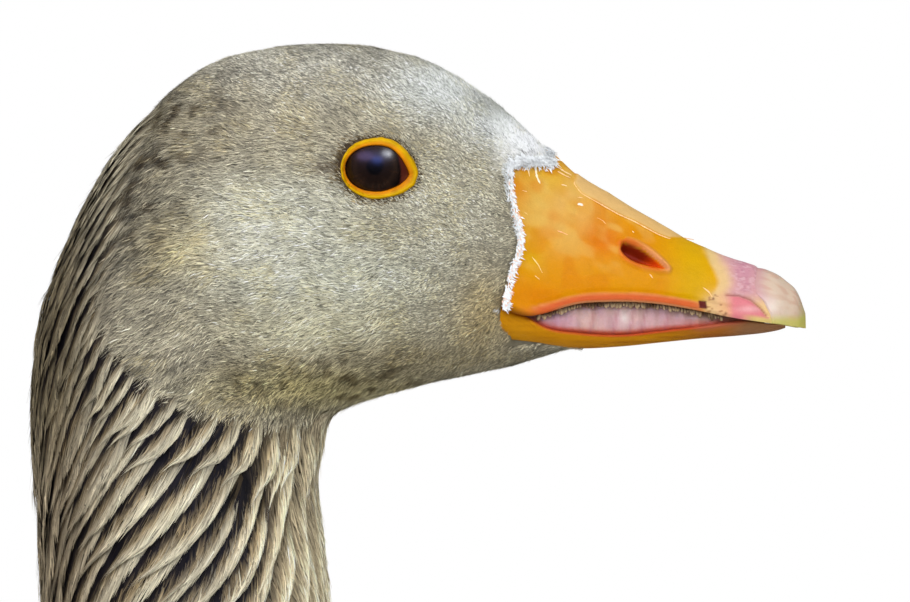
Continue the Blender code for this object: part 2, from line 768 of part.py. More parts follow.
def make_foot(name, side, collection, parent):
    """A webbed foot with a level sole. Its origin is the point under the ankle."""
    grid = foot_grid()
    rows, columns = len(grid), len(grid[0])
    built = bmesh.new()
    top = [[built.verts.new(Vector((x, -side * y, z)) * MM) for x, y, z in row] for row in grid]
    for i in range(rows - 1):
        for j in range(columns - 1):
            built.faces.new((top[i][j], top[i][j + 1], top[i + 1][j + 1], top[i + 1][j]))
    rim = (
        [(0, j) for j in range(columns)]
        + [(i, columns - 1) for i in range(1, rows)]
        + [(rows - 1, j) for j in range(columns - 2, -1, -1)]
        + [(i, 0) for i in range(rows - 2, 0, -1)]
    )
    sole = [built.verts.new((top[i][j].co.x, top[i][j].co.y, 0)) for i, j in rim]
    for k in range(len(rim)):
        n = (k + 1) % len(rim)
        (i, j), (p, q) = rim[k], rim[n]
        built.faces.new((top[i][j], top[p][q], sole[n], sole[k]))
    built.faces.new(sole)
    bmesh.ops.recalc_face_normals(built, faces=built.faces)
    foot = add_object(name, built, LEG, collection, parent)
    foot.location = Vector((ANKLE[0], side * ANKLE[1], 0)) * MM
    return foot


def claw_mesh():
    """A claw along +X that bends down, its root at the origin."""
    rings = []
    for share in np.linspace(0, 1, 4):
        radius = CLAW_RADIUS * (1 - share) ** 0.7 + 0.35
        bend = -1.4 * share**2
        ring = []
        for k in range(6):
            angle = 2 * math.pi * k / 6
            ring.append(
                (CLAW_LENGTH * share, radius * 0.85 * math.cos(angle), bend + radius * math.sin(angle))
            )
        rings.append(ring)
    return mesh_of_rings(rings)


def make_claws(name, side, collection, parent):
    """A claw at the end of each front toe, just clear of it."""
    for toe, (angle, length) in TOES.items():
        claw = add_object(f"claw_{name}_{toe}", claw_mesh(), CLAW, collection, parent)
        turn = math.radians(-side * angle)
        out = length + GAP / MM
        claw.location = Vector(
            (
                ANKLE[0] + out * math.cos(turn),
                side * ANKLE[1] + out * math.sin(turn),
                CLAW_RADIUS + 0.5,
            )
        ) * MM
        claw.rotation_euler.z = turn


def make_hind_toe(name, side, collection, parent):
    """The short hind toe, held just off the floor, with its claw."""
    root, tip = (Vector((x, y, z)) for x, y, z in HIND_TOE)
    along = (tip - root).normalized()
    wide = along.cross(Vector((0, 0, 1))).normalized()
    up = wide.cross(along)

    def rings_between(start, end, radii, count):
        rings = []
        for share in np.linspace(0, 1, count):
            centre = start.lerp(end, share)
            radius = float(radii[0] * (1 - share) + radii[1] * share)
            ring = []
            for k in range(8):
                angle = 2 * math.pi * k / 8
                p = centre + radius * (wide * math.cos(angle) + up * math.sin(angle))
                ring.append((ANKLE[0] + p.x, side * (ANKLE[1] + p.y), p.z))
            rings.append(ring)
        return rings

    toe = mesh_of_rings(rings_between(root, tip, HIND_TOE_RADII, 4))
    add_object(f"hind_toe_{name}", toe, LEG, collection, parent)
    start = tip + along * GAP / MM
    end = start + along * 5.0 - Vector((0, 0, 1.0))
    claw = mesh_of_rings(rings_between(start, end, (1.7, 0.4), 4))
    add_object(f"claw_{name}_hind", claw, CLAW, collection, parent)


# ---- Assembly ----
def bounds_x(collection):
    bpy.context.view_layer.update()
    graph = bpy.context.evaluated_depsgraph_get()
    low, high = math.inf, -math.inf
    for piece in collection.objects:
        if piece.type != "MESH":
            continue
        seen = piece.evaluated_get(graph)
        for corner in seen.data.vertices:
            x = (seen.matrix_world @ corner.co).x
            low, high = min(low, x), max(high, x)
    return low, high


def main():
    clear_scene()
    goose = make_collection("goose")
    cutters = make_collection("cutters")
    stand_point = bpy.data.objects.new("goose_root", None)
    goose.objects.link(stand_point)
    body = whole_body()
    pieces = part_body(body, goose, stand_point)
    open_head_for_bill(pieces["head"], cutters, stand_point)
    make_eyes(goose, cutters, stand_point, pieces["head"])
    make_upper_bill(goose, cutters, stand_point)
    make_lower_bill(goose, stand_point)
    make_tongue(goose, stand_point)
    make_tail(goose, stand_point)
    make_wings(body, goose, stand_point)
    body.free()
    for name, side in (("left", 1), ("right", -1)):
        make_shank(f"shank_{name}", side, goose, stand_point)
        make_foot(f"foot_{name}", side, goose, stand_point)
        make_claws(name, side, goose, stand_point)
        make_hind_toe(name, side, goose, stand_point)
    low, high = bounds_x(goose)
    stand_point.location.x = -(low + high) / 2


main()
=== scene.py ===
# %% [markdown]
# # A grey domestic goose
# A farmyard goose of the greylag pattern stands alert, neck straight up and bill level, as a
# life-size museum model. The solids of the part are its frame. This lesson dresses them: one
# skin for all the flesh, then feathers of real mesh, a horny bill, wet eyes and scaly legs.

import math

import bmesh
import bpy
import numpy as np
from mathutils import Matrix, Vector
from mathutils.bvhtree import BVHTree
from mathutils.kdtree import KDTree


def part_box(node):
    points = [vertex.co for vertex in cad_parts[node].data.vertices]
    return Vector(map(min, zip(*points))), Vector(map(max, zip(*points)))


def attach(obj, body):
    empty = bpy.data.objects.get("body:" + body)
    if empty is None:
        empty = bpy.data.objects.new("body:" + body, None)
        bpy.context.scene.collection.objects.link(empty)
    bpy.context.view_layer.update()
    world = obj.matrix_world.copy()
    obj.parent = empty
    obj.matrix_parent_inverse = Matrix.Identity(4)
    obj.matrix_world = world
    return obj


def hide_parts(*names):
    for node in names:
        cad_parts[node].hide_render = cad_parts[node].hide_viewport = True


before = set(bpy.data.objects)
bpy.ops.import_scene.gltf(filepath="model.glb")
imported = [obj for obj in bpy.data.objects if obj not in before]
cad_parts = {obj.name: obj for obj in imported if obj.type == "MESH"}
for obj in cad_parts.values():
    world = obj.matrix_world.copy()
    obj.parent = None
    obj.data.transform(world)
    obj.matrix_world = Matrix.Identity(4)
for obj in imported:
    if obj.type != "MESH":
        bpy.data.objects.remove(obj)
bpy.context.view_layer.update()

# %% [markdown]
# Everything on the head is easiest to think of as so many millimetres from the eye, so this is
# the measure used throughout: x forward, y to the bird's left, z up, in millimetres, from the
# point midway between the two eyes.

# %% Measures
MM = 0.001
eye_low, eye_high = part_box("eye_right")
EYE = Vector(((eye_low.x + eye_high.x) / 2, 0.0, (eye_low.z + eye_high.z) / 2))
EYE_OUT = -(eye_low.y + eye_high.y) / 2 / MM  # an eyeball's centre, out from the middle
EYE_RADIUS = (eye_high.x - eye_low.x) / 2 / MM
ORIGIN = np.array(EYE)
HIP = np.array((-191.0, 0.0, -700.0))  # the floor under the hips
SIDES = (("right", -1), ("left", 1))


def to_mm(points):
    return (np.asarray(points, float) - ORIGIN) / MM


def to_metres(points):
    return np.asarray(points, float) * MM + ORIGIN


def placed(name, data):
    """Puts some data in the scene as an object at the origin."""
    made = bpy.data.objects.new(name, data)
    bpy.context.scene.collection.objects.link(made)
    return made


print("eye", [round(v, 4) for v in EYE], "eyeball", round(EYE_OUT, 2), round(EYE_RADIUS, 2))

# %% [markdown]
# The camera looks at the bird's right side from a metre and a half with a long lens, so the
# head and the top of the neck fill the view with almost no perspective.

# %% Camera
VIEW_WIDTH = 195.7  # mm across the view, in the plane of the bill
VIEW_CENTRE = (16.6, -28.2)  # x and z, from the eye
CAMERA_AWAY = 1500.0
SENSOR = 36.0
camera_data = bpy.data.cameras.new("camera")
camera_data.sensor_width = SENSOR
camera_data.lens = SENSOR * CAMERA_AWAY / VIEW_WIDTH
camera = placed("camera", camera_data)
camera.location = to_metres((VIEW_CENTRE[0], -CAMERA_AWAY, VIEW_CENTRE[1]))
camera.rotation_euler = (math.radians(90), 0, 0)
bpy.context.scene.camera = camera
print("lens", round(camera_data.lens, 1), "mm")

# %% [markdown]
# A feather coat is tens of thousands of small shapes. Making them one by one is slow, so they
# are worked out as whole arrays of numbers and turned into one mesh at a time. These helpers
# do that, along with a soft random field that the whole lesson draws on.

# %% Helpers for arrays
def ramp(start, end, values):
    """0 before start, 1 after end, and smooth between. The two may be given in either order."""
    t = np.clip((np.asarray(values, float) - start) / (end - start), 0, 1)
    return t * t * (3 - 2 * t)


def unit(vectors):
    length = np.linalg.norm(vectors, axis=-1, keepdims=True)
    return vectors / np.maximum(length, 1e-9)


def hashed(i, j, k, seed):
    mixed = (i * 73856093) ^ (j * 19349663) ^ (k * 83492791) ^ (seed * 2654435761)
    mixed = ((mixed ^ (mixed >> 13)) * 1274126177) & 0x7FFFFFFF
    return ((mixed ^ (mixed >> 15)) & 0xFFFF) / 65535.0


def drift(points, size, seed):
    """A soft random field from 0 to 1 whose blots are about size mm across."""
    at = np.asarray(points, float) / size
    cell = np.floor(at).astype(np.int64)
    part = at - cell
    part = part * part * (3 - 2 * part)
    total = 0.0
    for i in (0, 1):
        wi = part[..., 0] if i else 1 - part[..., 0]
        for j in (0, 1):
            wj = part[..., 1] if j else 1 - part[..., 1]
            for k in (0, 1):
                wk = part[..., 2] if k else 1 - part[..., 2]
                corner = hashed(cell[..., 0] + i, cell[..., 1] + j, cell[..., 2] + k, seed)
                total = total + wi * wj * wk * corner
    return total


def tone(red, green, blue):
    """A colour given as on a paint chart, 0 to 255, turned into light values."""
    chart = np.array((red, green, blue)) / 255.0
    return np.where(chart <= 0.04045, chart / 12.92, ((chart + 0.055) / 1.055) ** 2.4)


def mixed(base, chart, share):
    """A chart colour laid over others, by a share from 0 to 1 at each point."""
    share = np.clip(share, 0, 1)[..., None]
    return base * (1 - share) + tone(*chart) * share


def blend(first, second, share):
    """First where the share is 0, second where it is 1."""
    return first * (1 - share[..., None]) + second * share[..., None]


def glazed(p, chart, coats=()):
    """One chart colour over all the points p, then coats of (colour, share) laid over it."""
    shade = np.broadcast_to(tone(*chart), p.shape).copy()
    for over, share in coats:
        shade = mixed(shade, over, share)
    return shade


def bump_at(x, z, at, size):
    """1 at a place and falling to 0 round it."""
    return np.exp(-(((x - at[0]) / size[0]) ** 2) - (((z - at[1]) / size[1]) ** 2))


def smooth_curve(rows):
    """A smooth function through rows of (station, size, size...)."""
    table = np.array(sorted(rows), float)
    at, sizes = table[:, 0], table[:, 1:]
    slopes = np.gradient(sizes, at, axis=0)

    def read(stations):
        s = np.clip(np.atleast_1d(np.asarray(stations, float)), at[0], at[-1])
        i = np.clip(np.searchsorted(at, s) - 1, 0, len(at) - 2)
        run = (at[i + 1] - at[i])[:, None]
        t = (s - at[i])[:, None] / run
        made = (2 * t**3 - 3 * t**2 + 1) * sizes[i] + (t**3 - 2 * t**2 + t) * run * slopes[i]
        made += (3 * t**2 - 2 * t**3) * sizes[i + 1] + (t**3 - t**2) * run * slopes[i + 1]
        return made

    return read


def sizes_at(table, x):
    """The sizes in a smooth table at stations x, each in an array shaped as x is."""
    return np.moveaxis(table(x.ravel()).reshape(*x.shape, -1), -1, 0)

# %% [markdown]
# A mesh in Blender is a list of points, a list of faces that name their corners, and data kept
# on either. These helpers fill those lists in one go, store painted colours, close tubes, and
# take copies of the part's own solids to shape further.

# %% Helpers for meshes
def mesh_of(name, points_mm, faces, colours=None, bake_uv=None, smooth=True, vane_uv=None):
    """A mesh from arrays: faces is one array of triangles or of quads. Colours and UVs are given
    one to a vertex."""
    data = bpy.data.meshes.new(name)
    faces = np.asarray(faces, np.int32)
    count, sides = faces.shape
    data.vertices.add(len(points_mm))
    data.vertices.foreach_set("co", to_metres(points_mm).astype(np.float32).ravel())
    data.loops.add(count * sides)
    data.loops.foreach_set("vertex_index", faces.ravel())
    data.polygons.add(count)
    data.polygons.foreach_set("loop_start", np.arange(0, count * sides, sides, dtype=np.int32))
    data.update(calc_edges=True)
    if smooth:
        data.shade_smooth()
    if colours is not None:
        paint(data, colours)
    for layer, uv in (("OFBake", bake_uv), ("Vane", vane_uv)):
        if uv is not None:
            made = data.uv_layers.new(name=layer)
            made.data.foreach_set("uv", np.asarray(uv, np.float32)[faces.ravel()].ravel())
    return data


def paint(data, colours, name="tint"):
    """Stores one colour to a vertex on a mesh."""
    layer = data.color_attributes.get(name)
    if layer is None:
        layer = data.color_attributes.new(name=name, type="FLOAT_COLOR", domain="POINT")
    full = np.ones((len(data.vertices), 4), np.float32)
    full[:, :3] = colours
    layer.data.foreach_set("color", full.ravel())


def points_of(data):
    co = np.zeros(len(data.vertices) * 3, np.float32)
    data.vertices.foreach_get("co", co)
    return to_mm(co.reshape(-1, 3))


def normals_of(data):
    out = np.zeros(len(data.vertices) * 3, np.float32)
    data.vertices.foreach_get("normal", out)
    return out.reshape(-1, 3).astype(float)


def set_points(data, points_mm):
    data.vertices.foreach_set("co", to_metres(points_mm).astype(np.float32).ravel())
    data.update()


def piece(name, data, material, stands_for=()):
    """Puts a finished mesh in the scene as a piece that rides with the bird."""
    made = placed(name, data)
    data.materials.clear()
    data.materials.append(material)
    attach(made, "root")
    if stands_for:
        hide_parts(*stands_for)
    print(f"{name}: {sum(len(p.vertices) - 2 for p in data.polygons)} triangles")
    return made


# %% [markdown]
# Much of an animal is a tube: a bill, a toe, a shank, a lid. Rings of points are worked out
# first and the faces between them follow from counting. The ends are closed with fans, so that
# every such shape is a solid one.

# %% Helpers for tubes
def tube_faces(rings, around, closed=True):
    """Quads over a grid of points: rings of so many points each."""
    i = np.arange(rings - 1)[:, None] * around
    j = np.arange(around if closed else around - 1)[None, :]
    k = (j + 1) % around
    corners = np.stack([i + j, i + k, i + around + k, i + around + j], axis=-1)
    return corners.reshape(-1, 4)


def facing_out(data):
    """Turns a closed mesh's faces outwards."""
    built = bmesh.new()
    built.from_mesh(data)
    bmesh.ops.recalc_face_normals(built, faces=built.faces)
    built.to_mesh(data)
    built.free()
    return data


def closed_tube(name, rings_mm):
    """A closed mesh through rings of points, its two ends filled with fans."""
    rings_mm = np.asarray(rings_mm, float)
    count, around = rings_mm.shape[:2]
    data = mesh_of(name, rings_mm.reshape(-1, 3), tube_faces(count, around))
    built = bmesh.new()
    built.from_mesh(data)
    corners = list(built.verts)
    for start, turn in ((0, -1), ((count - 1) * around, 1)):
        edge = corners[start : start + around]
        centre = built.verts.new(sum((v.co for v in edge), Vector()) / around)
        for k in range(around):
            pair = (edge[k], edge[(k + 1) % around])[::turn]
            face = built.faces.new((*pair, centre))
            face.smooth = True
    bmesh.ops.recalc_face_normals(built, faces=built.faces)
    built.to_mesh(data)
    built.free()
    return data


print("a tube of 3 rings of 8 points has", len(tube_faces(3, 8)), "faces")

# %% [markdown]
# The solids give the bird its true size and stance, so every shape that has a solid starts from
# it or is measured against it. These helpers copy solids, wrap several of them in one even mesh,
# and search a surface for the place nearest to a point.

# %% Helpers for the part's solids
def copy_of_nodes(names, label="form"):
    """The shapes of some nodes joined in one mesh, with their loose triangles merged."""
    built = bmesh.new()
    for name in names:
        one = bmesh.new()
        one.from_mesh(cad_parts[name].data)
        bmesh.ops.remove_doubles(one, verts=one.verts, dist=0.00001)
        held = bpy.data.meshes.new("held")
        one.to_mesh(held)
        one.free()
        built.from_mesh(held)
        bpy.data.meshes.remove(held)
    form = bpy.data.meshes.new(label)
    built.to_mesh(form)
    built.free()
    return form


def evaluated_mesh(data, *modifiers):
    """The mesh that some modifiers make of another. Each is (type, {setting: value})."""
    holder = placed("holder", data)
    for kind, settings in modifiers:
        made = holder.modifiers.new(kind.lower(), kind)
        for key, value in settings.items():
            setattr(made, key, value)
    graph = bpy.context.evaluated_depsgraph_get()
    result = bpy.data.meshes.new_from_object(holder.evaluated_get(graph))
    bpy.data.objects.remove(holder)
    return result


def wrapped_nodes(names, cell, rounds):
    """Some nodes wrapped in one even mesh, its cells so many mm wide, and smoothed."""
    return evaluated_mesh(
        copy_of_nodes(names),
        ("REMESH", {"mode": "VOXEL", "voxel_size": cell * MM, "use_smooth_shade": True}),
        ("SMOOTH", {"factor": 0.5, "iterations": rounds}),
    )


def search_tree(points, faces):
    """A tree that finds the nearest face to a place, or the face that a ray meets."""
    return BVHTree.FromPolygons([Vector(p) for p in points], [tuple(map(int, f)) for f in faces])


print("solids", len(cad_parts))

# %% [markdown]
# Shader groups are small machines used by more than one material. The first adds mottling: two
# sizes of noise that lighten and darken a colour. The second turns noise into bump height.

# %% Shader groups
def new_group(name, inputs, outputs):
    tree = bpy.data.node_groups.new(name, "ShaderNodeTree")
    for label, kind, value in inputs:
        socket = tree.interface.new_socket(label, in_out="INPUT", socket_type=kind)
        if value is not None:
            socket.default_value = value
    for label, kind in outputs:
        tree.interface.new_socket(label, in_out="OUTPUT", socket_type=kind)
    return tree, tree.nodes.new("NodeGroupInput"), tree.nodes.new("NodeGroupOutput")


def give(tree, node, values):
    """Sets a node's inputs: another node's output is linked, and a plain value is kept."""
    for label, value in values.items():
        if isinstance(value, bpy.types.NodeSocket):
            tree.links.new(value, node.inputs[label])
        else:
            node.inputs[label].default_value = value
    return node


def node_in(tree, kind, values, operation=None):
    node = tree.nodes.new(kind)
    if operation:
        node.operation = operation
    return give(tree, node, values)


def noise(tree, where, scale, detail, roughness=0.55):
    values = {"Vector": where, "Scale": scale, "Detail": detail, "Roughness": roughness}
    return node_in(tree, "ShaderNodeTexNoise", values).outputs["Fac"]


def maths(tree, operation, first, second):
    return node_in(tree, "ShaderNodeMath", {0: first, 1: second}, operation).outputs[0]


def bump_of(tree, height, distance, strength):
    values = {"Height": height, "Distance": distance, "Strength": strength}
    return node_in(tree, "ShaderNodeBump", values).outputs["Normal"]


def make_mottle_group():
    """Colour in, the same colour out with soft light and dark blots of two sizes."""
    inputs = [
        ("Color", "NodeSocketColor", (0.5, 0.5, 0.5, 1)),
        ("Vector", "NodeSocketVector", None),
        ("Broad Scale", "NodeSocketFloat", 300.0),
        ("Fine Scale", "NodeSocketFloat", 1500.0),
        ("Amount", "NodeSocketFloat", 0.2),
    ]
    tree, given, out = new_group("mottle", inputs, [("Color", "NodeSocketColor")])
    colour, where, broad_scale, fine_scale, amount = given.outputs[:5]
    broad, fine = noise(tree, where, broad_scale, 3.0), noise(tree, where, fine_scale, 4.0)
    swing = maths(tree, "SUBTRACT", maths(tree, "ADD", broad, fine), 1.0)
    swing = maths(tree, "MULTIPLY", swing, amount)
    gain = maths(tree, "ADD", maths(tree, "MULTIPLY", swing, 2.0), 1.0)
    mix = node_in(tree, "ShaderNodeVectorMath", {0: colour, "Scale": gain}, "SCALE")
    give(tree, out, {"Color": mix.outputs[0]})
    return tree


def make_grain_group():
    """Bump height from fine grain and broad dents."""
    inputs = [
        ("Vector", "NodeSocketVector", None),
        ("Grain Scale", "NodeSocketFloat", 2500.0),
        ("Dent Scale", "NodeSocketFloat", 400.0),
        ("Dent Share", "NodeSocketFloat", 0.6),
    ]
    tree, given, out = new_group("grain", inputs, [("Height", "NodeSocketFloat")])
    where, grain_scale, dent_scale, dent_share = given.outputs[:4]
    grain = noise(tree, where, grain_scale, 4.0, 0.6)
    dents = maths(tree, "MULTIPLY", noise(tree, where, dent_scale, 2.0, 0.5), dent_share)
    give(tree, out, {"Height": maths(tree, "ADD", grain, dents)})
    return tree


MOTTLE = make_mottle_group()
GRAIN = make_grain_group()
print("groups", [g.name for g in bpy.data.node_groups])

# %% [markdown]
# Nearly everything on the bird is painted point by point: its mesh carries a colour named tint.
# One function makes all such materials. It reads the tint, mottles it, and may add a fine bump.

# %% Materials that read a painted tint
def group_in(tree, group, values):
    node = tree.nodes.new("ShaderNodeGroup")
    node.node_tree = group
    return give(tree, node, values).outputs[0]


def tinted(name, roughness, mottle=(300.0, 1500.0, 0.15), bump=None, specular=0.5, extra=()):
    """A Principled material whose colour is the mesh's painted tint with mottling over it.
    bump is (grain scale, dent scale, dent share, distance in metres, strength)."""
    made = bpy.data.materials.new(name)
    made.use_nodes = True
    tree = made.node_tree
    where = tree.nodes.new("ShaderNodeTexCoord").outputs["Object"]
    tint = tree.nodes.new("ShaderNodeAttribute")
    tint.attribute_name = "tint"
    blots = dict(zip(("Broad Scale", "Fine Scale", "Amount"), mottle))
    colour = group_in(tree, MOTTLE, {"Vector": where, "Color": tint.outputs["Color"], **blots})
    shader = give(tree, tree.nodes["Principled BSDF"], {
        "Roughness": roughness, "Specular IOR Level": specular, "Base Color": colour, **dict(extra),
    })
    if bump:
        dents = dict(zip(("Grain Scale", "Dent Scale", "Dent Share"), bump))
        height = group_in(tree, GRAIN, {"Vector": where, **dents})
        give(tree, shader, {"Normal": bump_of(tree, height, *bump[3:])})
    return made


print("the bump of a material is", len(GRAIN.nodes), "nodes")

# %% [markdown]
# ## Markings
# A greylag-pattern goose is grey-brown above with a paler cheek and throat, a dark nape, a white
# belly, and white round the tail. Each marking is a soft patch: where it lies, how far it
# reaches, and its tone. The skin and every feather ask this one function for their colour, so
# they always agree.

# %% Markings of the head and neck
HEAD_MIDDLE = (-20.0, -10.0)


def past_collar(p):
    """How far past the cheek's lower edge a point lies, in mm: below 0 on the head. The edge is
    an arc round the head's middle. It draws in behind and stops at the throat."""
    x, z = p[..., 0] - HEAD_MIDDLE[0], p[..., 2] - HEAD_MIDDLE[1]
    turn = np.degrees(np.arctan2(z, -x))
    edge = 45.5 - 10 * ramp(-35, -5, turn) + 14 * ramp(36, 60, turn)
    throat = -9.5 - p[..., 0] + 0.6 * np.maximum(-56 - p[..., 2], 0)
    return np.minimum(np.hypot(x, z) - edge, 1.2 * throat)


# x, z, reach along x, reach along z, tone, strength
HEAD_PATCHES = [
    (-12, 23, 34, 9, (188, 184, 168), 0.9),
    (-42, 10, 16, 12, (136, 128, 106), 0.8),
    (16, 17, 13, 7, (234, 238, 230), 0.9),
    (27, 9, 9, 6, (224, 228, 222), 0.9),
    (35, 5, 8.5, 6, (254, 255, 255), 0.97),
    (16, -8, 12, 13, (208, 203, 180), 0.8),
    (23, -30, 7, 9, (178, 158, 110), 0.8),
    (-20, -10, 20, 9, (202, 200, 180), 0.9),
    (-8, -23, 24, 9, (202, 202, 182), 0.8),
    (-24, -18, 13, 8, (212, 209, 188), 0.7),
    (-10, -34, 18, 5, (212, 206, 174), 0.8),
    (-47, -12, 11, 12, (134, 126, 101), 0.8),
    (-40, -17, 8, 5, (194, 182, 142), 0.6),
    (-12, -46, 22, 5, (172, 160, 110), 0.9),
    (10, -41, 16, 5, (156, 144, 110), 0.7),
    (-54, 2, 9, 17, (128, 120, 100), 0.9),
    (-62, -24, 8, 22, (104, 95, 76), 0.9),
]


def neck_middle(p):
    """The x of the neck's middle and half its depth, at each point's height."""
    back = -74.5 + 3.0 * ramp(-60, -100, p[..., 2]) - 60 * ramp(-230, -360, p[..., 2])
    front = -11.5 + 6.0 * ramp(-150, -340, p[..., 2])
    return (back + front) / 2, (front - back) / 2


def head_and_neck_tone(p):
    shade = glazed(p, (168, 160, 136))
    for x, z, reach_x, reach_z, chart, strength in HEAD_PATCHES:
        far = ((p[..., 0] - x) / reach_x) ** 2 + ((p[..., 2] - z) / reach_z) ** 2
        shade = mixed(shade, chart, strength * np.exp(-(far**1.2)))
    middle, half = neck_middle(p)
    across = (p[..., 0] - middle) / half
    neck = glazed(p, (178, 170, 146), [((234, 220, 184), ramp(0.2, 0.9, across))])
    nape = glazed(p, (124, 112, 90), [((98, 88, 66), ramp(-75, -50, p[..., 2]))])
    neck = blend(neck, nape, ramp(-0.2, -0.85, across))
    dusky = neck * 0.6 + tone(120, 108, 88) * 0.25
    neck = blend(neck, dusky, ramp(-110, -260, p[..., 2]))
    return blend(shade, neck, ramp(-5, 5, past_collar(p)))

# %% [markdown]
# The body has few tones, and each runs softly into the next: grey-brown flank, darker back,
# paler breast, then the white of belly and vent and the pale rump.

# %% Markings of the body
def body_tone(p):
    x, z = p[..., 0] - HIP[0], p[..., 2] - HIP[2]
    return glazed(p, (116, 104, 88), [
        ((104, 94, 80), ramp(300, 350, z)),  # back
        ((150, 138, 118), ramp(60, 150, x)),  # breast
        ((232, 230, 222), ramp(212, 176, z + 0.10 * x) * ramp(110, 50, x)),  # belly
        ((232, 230, 222), ramp(-130, -190, x) * ramp(285, 262, z)),  # vent
        ((168, 164, 156), ramp(-150, -215, x) * ramp(270, 290, z)),  # rump
    ])


def markings(p):
    return blend(head_and_neck_tone(p), body_tone(p), ramp(-290, -350, p[..., 2]))


print("patches on the head", len(HEAD_PATCHES))

# %% [markdown]
# ## Skin
# Under its coat a goose has one continuous skin. Here it is made by joining the solids of head,
# neck, trunk and thighs, wrapping them in a fine even mesh so that no seam is left, smoothing
# that, and then drawing it in by the depth of the coat: a hair's breadth on the face, more on
# the neck, and most on the body.

# %% The skin's shape
FLESH = ["head", "neck_upper", "neck_middle", "neck_lower", "trunk", "thigh_left", "thigh_right"]
SKIN_CELL = 2.3


def coat_depth(p):
    """How far the skin lies under the coat's surface, in mm."""
    on_neck = ramp(-4, 12, past_collar(p))
    on_body = ramp(-260, -340, p[..., 2])
    return 0.35 + 1.4 * on_neck + 2.5 * on_body


LIDS_MIDDLE, LIDS_REACH = 0.07, 6.86  # the opening's middle, and how far its corners are


def eye_gap(x, grow=0.0):
    """The lids' opening at each x: its middle height and half its height, 0 beyond its corners.
    The front corner is drawn out to a point, forwards and down."""
    t = (x - LIDS_MIDDLE) / (LIDS_REACH + grow)
    rear = np.sqrt(np.maximum(1 - np.abs(t) ** 2.2, 0))
    front = np.maximum(1 - np.abs(t) ** 2.1, 0) ** 0.72
    middle = -1.15 * np.clip((x - 2.5) / 4.4, 0, 1) ** 1.8 - 0.1
    return middle, (5.0 + grow) * np.where(t < 0, rear, front)


def in_eye_opening(x, z, grow=0.0):
    middle, half = eye_gap(x, grow)
    return np.abs(z - middle) < half


def lid_width(x, z):
    """The width of the bare lid in each direction from the eye: narrow behind, wide ahead."""
    turn = np.arctan2(z, x)
    up, front = np.sin(turn), np.cos(turn)
    width = 1.4 + 0.2 * np.maximum(up, 0) + 0.1 * np.maximum(-up, 0)
    return width - 0.5 * np.maximum(-front, 0) ** 2 + 0.5 * np.maximum(front, 0) ** 4


def lid_surface(x, z, lift):
    """How far out, in mm from the middle, a point lies that is lift mm over the eyeball."""
    reach = (EYE_RADIUS + lift) ** 2 - x**2 - z**2
    return EYE_OUT + np.sqrt(np.maximum(reach, 0.0))


def feather_line(z, corner=2.6):
    """Where the feathers end on the side of the bill: the x of their edge at each height. The
    forehead's reach on over the root of the bill, the chin's reach on under it, and the corner
    of the mouth reaches back."""
    side = 28.6 + 2.4 * np.exp(-(((z + 15.5) / 7.5) ** 2)) - 0.5 * ramp(-25, -29, z)
    side = side - corner * np.exp(-(((z + 30.2) / 0.9) ** 2))
    return side + 8.8 * ramp(0.9, 1.9, z) + 17 * ramp(-36.5, -37.8, z)


def bare(p):
    """How far a point lies ahead of the feathers' edge, on the bill's side of it."""
    return p[..., 0] - feather_line(p[..., 2])


print("the lids open", round(float(eye_gap(np.array([0.0]))[1][0] * 2), 1), "mm")

# %% [markdown]
# The wrap needs care in three places. Round each eye the mesh is cut finer and pressed to just
# over the eyeball, and within the lids' opening just under it. Ahead of the feathers' edge the
# skin is tucked in under the horn, and everywhere else it sinks by the depth of the coat.

# %% Make the skin
def make_skin():
    inside = ["eye_left", "eye_right", "bill_upper", "bill_lower", "tongue"]
    wrapped = wrapped_nodes(FLESH + inside, SKIN_CELL, 6)
    built = bmesh.new()
    built.from_mesh(wrapped)
    for side in (-1, 1):
        centre = Vector(to_metres((0, side * (EYE_OUT + 8), 0)))
        near = [e for e in built.edges if (e.verts[0].co - centre).length < 13 * MM]
        bmesh.ops.subdivide_edges(built, edges=near, cuts=2, use_grid_fill=True)
    bmesh.ops.triangulate(built, faces=[f for f in built.faces if len(f.verts) > 4])
    skin = bpy.data.meshes.new("skin")
    built.to_mesh(skin)
    built.free()
    points, normals = points_of(skin), normals_of(skin)
    points = points - normals * coat_depth(points)[:, None]
    tuck = 0.4 * ramp(0.0, 2.5, bare(points))
    points[:, 1] *= 1 - tuck
    points[:, 2] += (-12 - 0.3 * (points[:, 0] - 30) - points[:, 2]) * tuck
    x, z = points[:, 0], points[:, 2]
    for side in (-1, 1):
        near = (side * points[:, 1] > 5) & (np.hypot(x, z) < 10)
        out = np.maximum(side * points[:, 1], lid_surface(x, z, 0.25))
        out = np.where(in_eye_opening(x, z, 0.2), lid_surface(x, z, -1.2), out)
        points[near, 1] = side * out[near]
    set_points(skin, points)
    skin.shade_smooth()
    return skin


skin_mesh = make_skin()
skin_points = points_of(skin_mesh)
print("skin", len(skin_points), "points", len(skin_mesh.polygons), "faces")

# %% [markdown]
# The skin is laid flat once, as a furrier would, and every feather keeps the place of its root
# on that flat pattern. The unwrap is automatic: the skin is covered, so only its even spread
# matters.

# %% The skin's unwrap
def unwrap(data):
    holder = placed("holder", data)
    bpy.context.view_layer.objects.active = holder
    holder.select_set(True)
    data.uv_layers.new(name="OFBake")
    bpy.ops.object.mode_set(mode="EDIT")
    bpy.ops.mesh.select_all(action="SELECT")
    bpy.ops.uv.smart_project(angle_limit=math.radians(66), island_margin=0.002)
    bpy.ops.object.mode_set(mode="OBJECT")
    bpy.data.objects.remove(holder)


